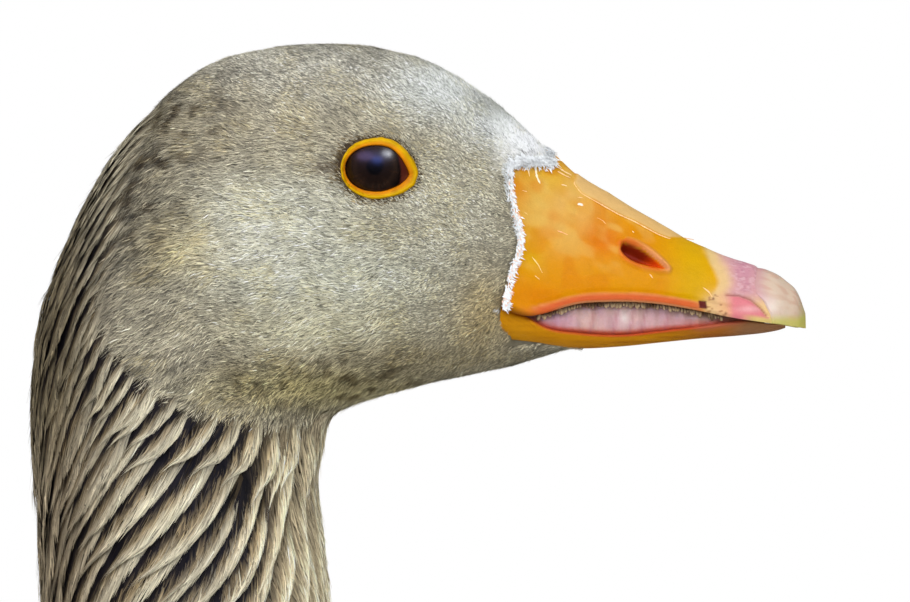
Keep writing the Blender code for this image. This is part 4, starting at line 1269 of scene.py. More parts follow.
# %% A tree that sets shapes along a line
def along_line_tree(name):
    """Sets a shape at even steps along a line, each turned and sized a little at random."""
    tree = bpy.data.node_groups.new(name, "GeometryNodeTree")
    sockets = [
        ("Geometry", "Geometry"), ("Shape", "Object"), ("Spacing", "Float"),
        ("Smallest", "Float"), ("Largest", "Float"), ("Tilt", "Float"), ("Seed", "Int"),
        ("Material", "Material"),
    ]
    for label, kind in sockets:
        tree.interface.new_socket(label, in_out="INPUT", socket_type=f"NodeSocket{kind}")
    tree.interface.new_socket("Geometry", in_out="OUTPUT", socket_type="NodeSocketGeometry")
    new = tree.nodes.new
    given, out = new("NodeGroupInput"), new("NodeGroupOutput")
    curve, steps = new("GeometryNodeMeshToCurve"), new("GeometryNodeResampleCurve")
    steps.mode = "LENGTH"
    place, shape = new("GeometryNodeInstanceOnPoints"), new("GeometryNodeObjectInfo")
    size, turn = new("FunctionNodeRandomValue"), new("FunctionNodeRandomValue")
    size.data_type, turn.data_type = "FLOAT", "FLOAT_VECTOR"
    lean, back = new("ShaderNodeVectorMath"), new("ShaderNodeVectorMath")
    lean.operation = back.operation = "SCALE"
    lean.inputs[0].default_value = (1, 1, 1)
    back.inputs["Scale"].default_value = -1
    real, coat = new("GeometryNodeRealizeInstances"), new("GeometryNodeSetMaterial")
    for start, leaves, end, enters in (
        (given, "Geometry", curve, "Mesh"), (curve, "Curve", steps, "Curve"),
        (given, "Spacing", steps, "Length"), (steps, "Curve", place, "Points"),
        (given, "Shape", shape, "Object"), (shape, "Geometry", place, "Instance"),
        (given, "Smallest", size, 2), (given, "Largest", size, 3), (given, "Seed", size, "Seed"),
        (given, "Tilt", lean, "Scale"), (lean, 0, turn, 1), (lean, 0, back, 0),
        (back, 0, turn, 0), (given, "Seed", turn, "Seed"), (turn, 0, place, "Rotation"),
        (size, 1, place, "Scale"), (place, "Instances", real, "Geometry"),
        (real, "Geometry", coat, "Geometry"), (given, "Material", coat, "Material"),
        (coat, "Geometry", out, "Geometry"),
    ):
        tree.links.new(start.outputs[leaves], end.inputs[enters])
    return tree


def set_along(name, line_data, shape, material, **values):
    """Runs the tree over a mesh of edges and returns the finished mesh."""
    holder = placed(name + "_line", line_data)
    grow = holder.modifiers.new("grow", "NODES")
    grow.node_group = ALONG_LINE
    values = {"Shape": shape, "Material": material, **values}
    for item in ALONG_LINE.interface.items_tree:
        if item.in_out == "INPUT" and item.name in values:
            grow[item.identifier] = values[item.name]
    graph = bpy.context.evaluated_depsgraph_get()
    made = bpy.data.meshes.new_from_object(holder.evaluated_get(graph))
    bpy.data.objects.remove(holder)
    return made


def line_mesh(name, lines_mm):
    """A mesh of nothing but edges, through each line of points."""
    data = bpy.data.meshes.new(name)
    points, edges = [], []
    for line in lines_mm:
        start = len(points)
        points += [Vector(p) for p in to_metres(line)]
        edges += [(start + k, start + k + 1) for k in range(len(line) - 1)]
    data.from_pydata(points, edges, [])
    return data


def small_shape(name, points, faces):
    """A shape for the tree to repeat, made in metres about the origin."""
    data = bpy.data.meshes.new(name)
    data.from_pydata([Vector(p) * MM for p in points], [], faces)
    facing_out(data)
    data.shade_smooth()
    return placed(name, data)


ALONG_LINE = along_line_tree("set_shapes_along_a_line")
print("the tree has", len(ALONG_LINE.nodes), "nodes")

# %% [markdown]
# The horny teeth hang from the upper cutting edge like a worn comb. Each is a blunt peg, darker
# at its root, partly its own colour and partly painted shade under the cutting edge, and the
# tree above repeats it along both edges.

# %% Teeth along the cutting edge
def tooth_shape():
    """A blunt peg that hangs down, a little flattened along the jaw."""
    points, faces = [], []
    rows = ((0.7, 0.34, 0.42), (0.0, 0.38, 0.46), (-0.6, 0.34, 0.38), (-1.0, 0.16, 0.2))
    turns = [k * math.pi / 4 for k in range(8)]
    for z, rx, ry in rows:
        points += [(rx * math.cos(turn), ry * math.sin(turn), z) for turn in turns]
    faces += [tuple(map(int, quad)) for quad in tube_faces(len(rows), 8)]
    faces += [tuple(range(8)), tuple(range(24, 32))]
    return small_shape("tooth", points, faces)


def tooth_lines():
    x = np.linspace(34.5, 73.5, 60)
    lines = []
    for side in (-1, 1):
        half = np.minimum(UPPER(x)[:, 2], LOWER(x)[:, 2] + 0.6) - 0.75
        lines.append(np.stack([x, side * half, UPPER(x)[:, 1] - 0.25], axis=-1))
    return lines


TOOTH_STUFF = tinted("tooth_horn", 0.45, (900.0, 3000.0, 0.35))
tooth = tooth_shape()
teeth = set_along(
    "teeth", line_mesh("tooth_lines", tooth_lines()), tooth, TOOTH_STUFF,
    Spacing=0.66 * MM, Smallest=0.45, Largest=1.3, Tilt=0.35, Seed=4,
)
bpy.data.objects.remove(tooth)
tooth_points = points_of(teeth)
hang = UPPER(tooth_points[:, 0])[:, 1] - tooth_points[:, 2]
paint(teeth, glazed(tooth_points, (190, 166, 126), [
    # darker at the root: partly the teeth's own colour, partly painted shade under the edge
    ((84, 52, 24), 0.9 * ramp(0.65, 0.15, hang)),
    ((84, 54, 26), 0.8 * ramp(0.5, 0.65, drift(tooth_points, 1.7, 96))),
]))
piece("cutting_teeth", teeth, TOOTH_STUFF)

# %% [markdown]
# ## Eyes
# The eye is a dark brown ball under a clear wet film. The lids are bare and bright orange, a
# raised ring of skin that is thickest in front, where it draws out into the corner of the eye.

# %% Eyeballs
def eye_tone(p):
    """Pupil, iris and the dark ring round it, by distance from the eye's axis."""
    out = np.hypot(p[..., 0] + 0.4, p[..., 2] - 0.3)
    turn = np.arctan2(p[..., 2], p[..., 0])
    rays = drift(np.stack([turn * 9, out / 4, 0 * out], axis=-1), 1.0, 101)
    edge = p[..., 0] - 4.9 + 0.05 * (p[..., 2] + 1.0) ** 2
    return glazed(p, (24, 13, 8), [
        ((40, 22, 11), ramp(0.45, 0.8, rays) * 0.6 * ramp(2.4, 4.0, out)),
        ((50, 34, 22), 0.35 * np.exp(-(((out - 4.3) / 0.5) ** 2))),
        ((4, 3, 3), ramp(2.0, 1.6, out)),
        ((8, 5, 4), ramp(5.2, 6.0, out)),
        ((72, 24, 12), 0.9 * ramp(-0.1, 0.4, edge)),
        ((104, 50, 30), 0.6 * bump_at(p[..., 0], p[..., 2], (6.2, -2.4), (0.8, 1.0))),
        ((4, 2, 2), 0.9 * np.exp(-((edge / 0.22) ** 2))),
    ])


def eyeball(side):
    count, around = 90, 128
    far = np.linspace(0.0, math.pi, count)[1:-1, None]
    turn = np.linspace(0, 2 * math.pi, around, endpoint=False)[None]
    radius = EYE_RADIUS - 0.05
    x = radius * np.sin(far) * np.cos(turn)
    z = radius * np.sin(far) * np.sin(turn)
    y = side * (EYE_OUT + radius * np.cos(far)) + 0 * turn
    data = closed_tube("eyeball", np.stack([x, y, z], axis=-1))
    paint(data, eye_tone(points_of(data)))
    return data


EYE_STUFF = tinted(
    "wet_eye", 0.5, (900.0, 4000.0, 0.1), None, 0.0,
    (("Coat Weight", 0.8), ("Coat Roughness", 0.25)),
)
for name, side in SIDES:
    piece(f"eyeball_{name}", eyeball(side), EYE_STUFF, [f"eye_{name}"])

# %% [markdown]
# A lid is a soft fold of skin. It could be sculpted, but a profile swept round the opening does
# the same: a dozen rings, from a thin wet edge on the eyeball, over a rounded roll, down into
# the feathers. How wide the roll is changes with its direction from the eye.

# %% Bare orange lids
def opening_edge(count=180):
    """Points round the lids' opening, evenly spaced, and the outward direction at each."""
    x = LIDS_MIDDLE + LIDS_REACH * np.cos(np.linspace(math.pi, 0, 240))
    middle, half = eye_gap(x)
    upper = np.stack([x, middle + half], axis=-1)
    lower = np.stack([x, middle - half], axis=-1)[::-1]
    loop = np.concatenate([upper, lower[1:-1]])
    closed = np.concatenate([loop, loop[:1]])
    far = np.concatenate([[0], np.cumsum(np.hypot(*np.diff(closed, axis=0).T))])
    at = np.linspace(0, far[-1], count, endpoint=False)
    edge = np.stack([np.interp(at, far, closed[:, k]) for k in (0, 1)], axis=-1)
    way = np.roll(edge, -2, axis=0) - np.roll(edge, 2, axis=0)
    return edge, unit(np.stack([-way[:, 1], way[:, 0]], axis=-1))


def lid_ring(side):
    edge, out = opening_edge()
    wobble = drift(np.column_stack([edge, 0 * edge[:, 0]]), 0.8, 111 + side)
    thick = lid_width(*edge.T) * (0.9 + 0.2 * wobble)
    rings = []
    for share, lift in (
        (-0.16, -0.5), (-0.05, 0.05), (0.0, 0.32), (0.08, 0.6), (0.2, 0.75), (0.38, 0.74),
        (0.55, 0.86), (0.72, 0.88), (0.86, 0.76), (0.95, 0.52), (1.02, 0.1), (1.06, -0.7),
    ):
        x, z = (edge + out * (share * thick)[:, None]).T
        ball = lid_surface(x, z, 0.0)
        skin_out = np.array([side * skin_at(px, pz, side) for px, pz in zip(x, z)])
        settled = ramp(0.1, 0.8, share)
        rest = ball * (1 - settled) + np.maximum(skin_out, ball) * settled
        rest = np.where(share > 0.1, np.maximum(rest, skin_out - 0.45), rest)
        rings.append(np.stack([x, side * (rest + lift), z], axis=-1))
    grid = np.stack(rings, axis=1)
    faces = tube_faces(len(rings), len(edge))
    data = mesh_of("lids", grid.transpose(1, 0, 2).reshape(-1, 3), faces)
    points = points_of(data)
    step = np.repeat(np.arange(len(rings)) / (len(rings) - 1), len(edge))
    shade = glazed(points, (240, 140, 4), [
        ((236, 184, 0), 0.9 * ramp(0.35, 0.6, step)),
        ((246, 164, 30), 0.5 * bump_at(step, 0 * step, (0.38, 0), (0.08, 1))),
        # painted shade: darker at the wet edge on the eyeball and where the lid goes under the
        # feathers
        ((120, 62, 12), 0.9 * ramp(0.16, 0.02, step)),
        ((120, 70, 20), 0.7 * ramp(0.86, 1.0, step)),
    ])
    patchy = 1 + 0.3 * (drift(points, 1.3, 121)[:, None] - 0.5)
    paint(data, shade * patchy * (0.66, 0.68, 0.5))
    if side > 0:
        data.flip_normals()
    return data


def skin_at(x, z, side):
    hit = skin_tree.ray_cast(Vector((x, side * 60, z)), Vector((0, -side, 0)))
    return hit[0].y if hit[0] is not None else side * 18.0


LID_STUFF = tinted(
    "lid_skin", 0.4, (900.0, 3500.0, 0.12), (3500.0, 900.0, 0.8, 0.0001, 0.6), 0.05
)
for name, side in SIDES:
    piece(f"lids_{name}", lid_ring(side), LID_STUFF)

# %% [markdown]
# ## The coat of the head
# The feathers of a goose's face are so small that they look like fine hair, a millimetre or two
# long. Each is a pointed kite of two triangles, laid along the flow and lifted a little at its
# tip. They overlap twofold or more. Tint varies from hair to hair and in long faint streaks.

# %% Small pointed feathers
KITE = [(0, 2, 3), (0, 3, 1)]  # root, left, right, tip
KITE_PATCH = np.array([(0.5, 0.0), (0.2, 0.5), (0.8, 0.5), (0.5, 1.0)])
BAKE_PATCH = 0.003


def coat_mesh(name, shapes, own_faces, tints, roots_uv, patch, vane_uv=None):
    """One mesh from many feathers, each with the same faces over its own points."""
    count, corners = shapes.shape[:2]
    faces = np.asarray(own_faces)[None] + corners * np.arange(count)[:, None, None]
    uv = np.clip(roots_uv, 0, 0.996)[:, None, :] + np.asarray(patch)[None] * BAKE_PATCH
    if vane_uv is not None:
        vane_uv = np.broadcast_to(vane_uv, (count, corners, 2)).reshape(-1, 2)
    return mesh_of(
        name, shapes.reshape(-1, 3), faces.reshape(-1, faces.shape[-1]), tints.reshape(-1, 3),
        uv.reshape(-1, 2), True, vane_uv,
    )


def kites(p, n, way, length, width, lift):
    """Pointed feathers that lie along way and rise by lift, an angle in radians."""
    side = np.cross(way, n)
    length, width, lift = (np.asarray(v)[:, None] for v in (length, width, lift))
    rise = n * np.sin(lift) + way * np.cos(lift)
    root = p - n * 0.12
    middle = p + rise * length * 0.45 - n * 0.04
    tip = p + rise * length
    return np.stack([root, middle - side * width / 2, middle + side * width / 2, tip], axis=1)


def streaks(p, seed, wide=1.2, long=8.0):
    """A random field drawn out along the fan of the face."""
    turn = np.arctan2(p[..., 2] - FAN_CENTRE[1], FAN_CENTRE[0] - p[..., 0])
    out = np.hypot(p[..., 2] - FAN_CENTRE[1], FAN_CENTRE[0] - p[..., 0])
    q = np.stack([turn * 100 / wide, out / long, p[..., 1] / (3 * wide)], axis=-1)
    return drift(q, 1.0, seed)


def turned(way, n, angle):
    side = np.cross(n, way)
    angle = np.asarray(angle)[..., None]
    return way * np.cos(angle) + side * np.sin(angle)


print("a kite has", len(KITE), "triangles")

# %% [markdown]
# A hair system could cover the head, but hair is thinner than these feathers and is lost in an
# export. So roots are scattered over the skin, densest on the side that shows most, and each
# feather gets its own length, lift, turn and tint. Darker hairs stand in tufts: partly darker
# feathers of the coat and partly painted shade between small tufts. Where the coat is rough, the
# crevices between tufts are darkened as painted shade.

# %% Cover the head
def on_chin(p):
    """Whether a point lies under the lower bill, where feathers reach forward."""
    rim_z, keel_z, half = LOWER(p[:, 0]).T
    down = np.maximum(rim_z - p[:, 2], 0) / (rim_z - keel_z)
    clear = (np.abs(p[:, 1]) / half) ** 2.5 + down**2.67 > 0.96
    return clear & (p[:, 2] < -34) & (p[:, 0] < 46)


def hair_density(c):
    """Roots to a square mm: more on the side that shows."""
    amount = np.where(c[:, 1] < 4, 15.0, 5.0) * ramp(1, -4, past_collar(c))
    amount = amount * ((bare(c) < 0.8) | on_chin(c))
    lids = in_eye_opening(c[:, 0], c[:, 2], lid_width(c[:, 0], c[:, 2]) - 0.1)
    return np.where(lids & (np.abs(c[:, 1]) > 6), 0, amount)


def dark_share(p):
    """How common dark hairs are: many on the crown and behind, few on the cheek."""
    crown = ramp(10, 24, p[..., 2]) * ramp(14, -10, p[..., 0])
    behind = ramp(-34, -52, p[..., 0])
    jaw = ramp(-34, -46, p[..., 2])
    lores = bump_at(p[..., 0], p[..., 2], (18, -6), (10, 18))
    return 0.07 + 0.22 * crown + 0.3 * behind + 0.2 * jaw + 0.12 * lores


def crevices(p):
    """Painted shade in the gaps between tufts where the coat is rough: the back of the crown,
    and the jaw.
    """
    x, z = p[..., 0], p[..., 2]
    rough = bump_at(x, z, (-44, 12), (16, 12)) + bump_at(x, z, (-50, -6), (10, 16))
    rough = rough + bump_at(x, z, (-6, -46), (28, 7)) + 0.35 * bump_at(x, z, (22, -24), (7, 12))
    uneven = drift(p, 1.9, 12) * 0.6 + streaks(p, 13, 1.6, 3.5) * 0.4
    return np.minimum(rough, 1) * ramp(0.47, 0.30, uneven)


def make_head_coat():
    rng = np.random.default_rng(11)
    p, n, uv = scatter(hair_density, rng)
    count = len(p)
    way = turned(lie(p, n), n, rng.normal(0, 0.24, count) + (drift(p, 6.0, 5) - 0.5) * 0.9)
    small = 1 - 0.45 * np.maximum(ramp(-8, 12, p[:, 0]), ramp(6, 20, p[:, 2]))
    round_eye = 1 - 0.3 * ramp(12, 8, np.hypot(p[:, 0], p[:, 2] + 0.4))
    length = rng.uniform(1.5, 2.8, count) * small * round_eye
    length *= 1 + 0.5 * ramp(-28, -56, p[:, 0])
    width = rng.uniform(0.13, 0.25, count) * (0.8 + 0.2 * small) * (1 + 0.3 * (p[:, 1] > 4))
    lift = rng.uniform(0.03, 0.22, count) + 0.2 * (rng.random(count) < 0.12)
    shapes = kites(p, n, way, length, width, lift)
    blots = drift(p, 3.2, 7) * 0.6 + streaks(p, 8) * 0.5 - 0.55
    bright = np.exp(rng.normal(-0.02, 0.34, count) + blots * 0.5)
    # Dark hairs gather in streaks along the flow: partly darker feathers, partly painted shade
    # between small tufts.
    dark = rng.random(count) < dark_share(p) * (0.4 + 1.6 * (streaks(p, 9, 0.9, 3.0) > 0.55))
    bright = np.where(dark, bright * rng.uniform(0.25, 0.6, count), bright)
    bright = np.where(rng.random(count) < 0.1, bright * 1.3, bright)
    tint = markings(p) * bright[:, None]
    brown = ramp(0.4, 0.8, drift(p, 4.5, 6))[:, None] * np.array((0.0, 0.05, 0.2))
    tint = tint * (1.04 - brown * (rng.random(count) < 0.5)[:, None])
    # painted shade in the crevices between tufts
    tint = tint * (1 - (0.68, 0.72, 0.78) * crevices(p)[:, None])
    for beyond, share, shade in ((0.3, 0.7, (0.36, 0.30, 0.20)), (1.1, 0.35, (0.5, 0.42, 0.3))):
        beyond = lid_width(p[:, 0], p[:, 2]) + beyond * (1 + drift(p, 1.1, 4))
        fringe = in_eye_opening(p[:, 0], p[:, 2], beyond) & (rng.random(count) < share)
        tint = np.where(fringe[:, None], tint * shade, tint)
    spot = bump_at(p[:, 0], p[:, 2], (-9.8, -0.2), (2.4, 1.4)) * rng.uniform(0.5, 1, count)
    tint = mixed(tint, (70, 50, 24), spot)
    edge = -0.5 - 0.7 * drift(p, 2.2, 3) - 0.4 * ramp(-12, -2, p[:, 2])
    white = tone(240, 243, 241) * rng.uniform(0.75, 1.0, (count, 1))
    tint = np.where(((bare(p) > edge) & (p[:, 2] > -30))[:, None], white, tint)
    tints = tint[:, None, :] * np.array((0.72, 1.0, 1.0, 1.12))[None, :, None]
    return p, shapes, np.minimum(tints, 0.9), uv


HAIR_STUFF = tinted("fine_face_feathers", 0.72, (900.0, 4000.0, 0.1), None, 0.25)
roots, shapes, tints, root_uv = make_head_coat()
areas = {
    "face_feathers_right_front": (roots[:, 1] < 4) & (roots[:, 0] > -12),
    "face_feathers_right_rear": (roots[:, 1] < 4) & (roots[:, 0] <= -12),
    "face_feathers_left": roots[:, 1] >= 4,
}
for name, mine in areas.items():
    data = coat_mesh("face_coat", shapes[mine], KITE, tints[mine], root_uv[mine], KITE_PATCH)
    piece(name, data, HAIR_STUFF)

# %% [markdown]
# Where the feathers meet the bill a ragged white edging laps over the horn, with a wider white
# patch where the forehead reaches forward over the bill's root.

# %% White edging by the bill
def horn_point(x, angle):
    """A point of the upper bill's bare arch and the outward direction there."""
    here = roof(x, angle)
    out = unit(np.cross(roof(x + 0.2, angle) - here, roof(x, angle + 0.02) - here))
    middle = np.stack([x, 0 * x, 0 * x - 24.0], axis=-1)
    return here, out * np.sign(((here - middle) * out).sum(-1, keepdims=True))


def edging_roots(rng):
    """Places along the feathers' edge: over the ridge, along its level part, down the side."""
    side_z = np.append(rng.uniform(-29.6, 1.8, 2600), rng.uniform(1.6, 4.6, 500))
    low = ramp(-17, -24, side_z)
    shift = 0.35 + 0.65 * low + 0.45 * np.exp(-(((side_z + 19) / 5) ** 2))
    ragged = rng.normal(0, 0.24, len(side_z)) * (1 + 0.5 * low)
    side_x = feather_line(side_z, 0) - shift + ragged
    level_x = rng.uniform(28.0, 38.2, 2200)
    level_z = 1.7 + rng.normal(0, 0.6, len(level_x))
    x, z = np.append(side_x, level_x), np.append(side_z, level_z)
    ridge_z, edge_z, _, top = arch(x)
    up = np.clip((z - edge_z) / (ridge_z - edge_z), 0, 0.999)
    angle = np.arcsin(up ** (top / 2))
    angle = np.where(rng.random(len(x)) < 0.65, angle, math.pi - angle)
    ridge_x, over_ridge = rng.normal(36.6, 0.4, 700), math.pi * rng.uniform(0.39, 0.61, 700)
    return np.append(x, ridge_x), np.append(angle, over_ridge)


def make_edging():
    rng = np.random.default_rng(21)
    x, angle = edging_roots(rng)
    p, n = horn_point(x, angle)
    keep = (drift(p, 2.0, 3) > 0.36) | (p[:, 2] > 0.5) | (rng.random(len(p)) < 0.3)
    p, n = p[keep], n[keep]
    side = np.where(p[:, 1] < 0, -1, 1)
    skin_out = np.array([abs(skin_at(q[0], q[2], s)) for q, s in zip(p, side)])
    proud = skin_out - np.abs(p[:, 1])
    proud = np.where((proud > 0) & (proud < 3.0), proud, 0)
    sideways = ramp(0.4, 0.8, np.abs(n[:, 1]))
    p[:, 1] += side * proud * sideways
    level = ramp(0.5, 1.2, p[:, 2]) * ramp(29, 31, p[:, 0]) * sideways
    p = p + (0.1 + 0.5 * level)[:, None] * n
    count = len(p)
    ahead = 1.1 * ramp(5, 1, np.abs(p[:, 1]))
    down_and_ahead = -np.sign(p[:, 1]) * (rng.normal(2.0, 0.5, count) + ahead)
    way = turned(lie(p, n), n, down_and_ahead)
    length = rng.uniform(0.6, 1.3, count) * (1 + 0.6 * (rng.random(count) < 0.1))
    shapes = kites(p, n, way, length, rng.uniform(0.2, 0.4, count), rng.uniform(0.05, 0.35, count))
    white = tone(250, 252, 252) * rng.uniform(0.78, 1.0, (count, 1))
    rosy = (rng.random(count) < 0.15) * ramp(0.5, -1, p[:, 2])
    white = mixed(white, (236, 196, 170), rosy)
    return shapes, np.repeat(white[:, None, :], 4, axis=1), uv_near(p)


shapes, tints, root_uv = make_edging()
data = coat_mesh("edging", shapes, KITE, tints, root_uv, KITE_PATCH)
piece("white_edging_by_bill", data, HAIR_STUFF)

# %% [markdown]
# ## The furrowed neck
# A goose's neck feathers stand together in long narrow locks, so the neck looks ploughed. The
# furrows follow the flow and keep about five millimetres apart. Lines are traced over the skin
# first: each new one starts a set distance beside an older one and stops when it comes too
# close to any other.

# %% Trace the furrows
def on_skin(point):
    place, normal, _, _ = skin_tree.find_nearest(Vector(point))
    return np.array(place), np.array(normal)


def stride(p, n, step):
    """One step over the skin along the flow, or against it if step is negative."""
    return on_skin(p + lie(p, n) * step)


def growth(p):
    """0 where the furrows begin behind the cheek, and 1 where they are full size."""
    return ramp(-4, 5, past_collar(p))


def furrow_gap(p):
    low_down = ramp(0, -55, p[..., 2])
    return 3.3 + 2.5 * growth(p) * low_down + 2.6 * ramp(-120, -260, p[..., 2])


def ploughed(p):
    return past_collar(p) > -4 and p[2] > -335


FURROW_STEP = 2.5


def trace_furrows():
    laid = np.zeros((20000, 3))
    used = 0
    lines = []
    spare = [(np.array(skin_points[k]), None, 0.58) for k in range(0, len(skin_points), 3)]
    waiting = [(*on_skin((-40, -30, -110)), 0.95)]
    while waiting or spare:
        seed, normal, clear = waiting.pop(0) if waiting else spare.pop(0)
        if not ploughed(seed):
            continue
        gap = furrow_gap(seed)
        if used and np.min(np.sum((laid[:used] - seed) ** 2, axis=1)) < (clear * gap) ** 2:
            continue
        if normal is None:
            seed, normal = on_skin(seed)
        line = [(seed, normal)]
        for turn in (1, -1):
            p, n = seed, normal
            for _ in range(200):
                p, n = stride(p, n, turn * FURROW_STEP)
                near = used and np.min(np.sum((laid[:used] - p) ** 2, axis=1))
                if not ploughed(p) or (used and near < (0.5 * furrow_gap(p)) ** 2):
                    break
                line.append((p, n)) if turn > 0 else line.insert(0, (p, n))
        laid[used : used + len(line)] = [p for p, _ in line]
        used += len(line)
        lines.append(line)
        for p, n in line[::2]:
            side = np.cross(lie(p, n), n) * furrow_gap(p)
            waiting.append((*on_skin(p + side), 0.92))
            waiting.append((*on_skin(p - side), 0.92))
    return lines


furrows = trace_furrows()
print("furrows", len(furrows), "points", sum(len(line) for line in furrows))

# %% [markdown]
# Along each furrow stand locks of feathers, every one with its root under the tip of the one
# before. Across the neck the locks overlap like slates: each rises from under its neighbour to
# a free edge that faces forwards and down. A lock is a hundred or more fine barbs. They start
# at its tucked side and slant out to the free edge, where they catch the light; the tucked side
# lies in its neighbour's shadow, and this makes the furrows. The barbs' colour paints this in as
# well: a painted shadow, near black, on the tucked side, and painted light at the free edge.

# %% Place the locks
def place_locks():
    rng = np.random.default_rng(31)
    roots = []
    for line in furrows:
        along = -rng.uniform(0, 14.0)
        first = 1.0
        for i, (p, n) in enumerate(line):
            if FURROW_STEP * i >= along:
                size = 0.5 + 0.5 * growth(p) * ramp(0, -55, p[2]) + 0.3 * ramp(-120, -260, p[2])
                roots.append((p, n, size, first))
                along = FURROW_STEP * i + size * rng.uniform(14, 21)
                first = 0.0
    return roots


LOCK_STEPS = 9
lock_roots = place_locks()
lock_count = len(lock_roots)
lock_size, lock_first = np.array([row[2:] for row in lock_roots]).T
lock_rng = np.random.default_rng(32)
lock_length = lock_size * lock_rng.uniform(29, 38, lock_count)
lock_path = np.zeros((lock_count, LOCK_STEPS, 3))
lock_normal = np.zeros_like(lock_path)
for k, (p, n, *_) in enumerate(lock_roots):
    for i in range(LOCK_STEPS):
        lock_path[k, i], lock_normal[k, i] = p, n
        p, n = stride(p, n, lock_length[k] / (LOCK_STEPS - 1))
lock_way = unit(np.gradient(lock_path, axis=1))
lock_hand = np.where(lock_path[:, :1, 1:2] > 0, 1.0, -1.0)
lock_side = unit(np.cross(lock_way, lock_normal)) * lock_hand
print("locks", lock_count, "mean length", lock_length.mean().round(1), "mm")

# %% [markdown]
# A lock has to fill its own furrow and no more. So at each step along it the room is measured
# to the next furrow on either side, and its two half widths and its height follow from that.

# %% Measure the room between the furrows
line_points = np.array([p for line in furrows for p, _ in line])
line_tree = KDTree(len(line_points))
for k, p in enumerate(line_points):
    line_tree.insert(p, k)
line_tree.balance()


def room_beside():
    """Distances to the furrows on each lock's tucked side and on its free side, all along it."""
    room = np.zeros((lock_count, LOCK_STEPS, 2))
    for k, i in np.ndindex(lock_count, LOCK_STEPS):
        here, gap = lock_path[k, i], furrow_gap(lock_path[k, i])
        near = [row[1] for row in line_tree.find_range(Vector(here), 2.1 * gap)]
        step = line_points[near] - here
        level = np.abs(step @ lock_way[k, i]) < 2.0
        across = (step @ lock_side[k, i])[level]
        for column, beside in ((0, -across), (1, across)):
            beside = beside[beside > 0.4 * gap]
            nearest = beside.min() if len(beside) else 1.1 * gap
            room[k, i, column] = np.clip(nearest, 0.6 * gap, 1.9 * gap)
    ends = np.concatenate([room[:, :1], room, room[:, -1:]], axis=1)
    return (ends[:, :-2] + 2 * room + ends[:, 2:]) / 4


lock_room = room_beside()
lock_half = lock_room * (0.88, 1.0)
lock_half[..., 1] *= lock_rng.uniform(0.56, 0.66, lock_count)[:, None]
lock_gap = lock_room.mean(axis=(1, 2))
lock_high = lock_gap * lock_rng.uniform(0.36, 0.50, lock_count)
lock_high *= 0.5 + 0.5 * growth(lock_path[:, 2])
lock_swing = lock_rng.normal(0, 0.10, lock_count) * lock_gap
lock_tone = np.exp(lock_rng.normal(0, 0.08, lock_count))
print("mean room", lock_gap.mean().round(2), "mm")

# %% [markdown]
# A barb is one pointed sliver of three triangles. It is placed on its lock by two shares, along
# and across, so that all barbs of a lock bend, rise and taper together. The nearest locks carry
# several hundred thin ones, and the rest of the neck fewer and broader ones.

# %% Grow the barbs
def along_lock(which, s, table):
    at = np.clip(s, 0, 1) * (LOCK_STEPS - 1)
    i = np.clip(at.astype(int), 0, LOCK_STEPS - 2)
    share = (at - i)[:, None]
    return table[which, i] * (1 - share) + table[which, i + 1] * share


def ridge(which, s, t, extra=0.0):
    """A point on a lock: s from root to tip, t from its tucked side (-1) to its free edge (1)."""
    centre = along_lock(which, s, lock_path)
    up = unit(along_lock(which, s, lock_normal))
    side = along_lock(which, s, lock_side)
    half = along_lock(which, s, lock_half)
    half = np.where(t < 0, half[:, 0], half[:, 1])
    start = 0.75 - 0.45 * lock_first[which]
    half = half * (start + (1 - start) * ramp(0, 0.4, s)) * (1 - 0.86 * ramp(0.62, 1.05, s) ** 1.4)
    climb = np.clip((t + 1) / 1.6, 0, None) ** 0.9
    fall = 0.5 * np.maximum(t - 0.6, 0) ** 2 / 0.16
    low = 0.25 - 0.55 * lock_first[which]
    rise = lock_high[which] * (low + (1 - low) * ramp(0, 0.6, s)) * (climb - fall)
    over = np.maximum(s - 1, 0) * lock_length[which]
    off = half * t + lock_swing[which] * s**2
    point = centre + side * off[:, None] + up * (rise - off**2 / 52 + extra)[:, None]
    return point + along_lock(which, s, lock_way) * over[:, None]


BARB = [(0, 1, 3), (0, 3, 2), (2, 3, 4)]  # root pair, middle pair, tip
BARB_PATCH = np.array([(0.3, 0), (0.7, 0), (0.2, 0.5), (0.8, 0.5), (0.5, 1)])


def make_barbs(which, rng, thick):
    """Barbs of the locks given by which: they slant from the tucked side to the free edge."""
    count = len(which)
    long = rng.uniform(6.0, 10.5, count) * (0.4 + 0.6 * lock_size[which])
    slant = np.tan(np.radians(rng.normal(16, 5, count))) * long / lock_gap[which] / 0.7
    at_edge = rng.random(count) < 0.3
    end = np.where(at_edge, rng.uniform(0.85, 1.06, count), rng.uniform(-0.75, 1.0, count))
    start = rng.uniform(-0.05, 0.80, count)
    reach = long / lock_length[which]
    bow = np.array((0, 0, 0.62, 0.62, 1.0))
    s = start[:, None] + reach[:, None] * np.array((0, 0, 0.52, 0.52, 1.0))
    t = end[:, None] - slant[:, None] * (1 - bow)
    t = np.maximum(t, -1.0 + 0.02 * rng.random(count)[:, None])
    width = thick * rng.uniform(0.7, 1.3, count)[:, None]
    broad = np.array((-0.35, 0.35, -0.5, 0.5, 0.0)) * width / lock_gap[which][:, None]
    t = t + broad * 1.4 * lock_hand[which, 0]
    stray = np.where(rng.random(count) < 0.06, 1.2, 0.35)
    lift = (rng.uniform(0.0, 1.0, count) * stray)[:, None] * np.array((0, 0, 0.4, 0.4, 1.0))
    flat = [ridge(which, s[:, k], t[:, k], lift[:, k] + 0.02 * k) for k in range(5)]
    return np.stack(flat, axis=1), s, t


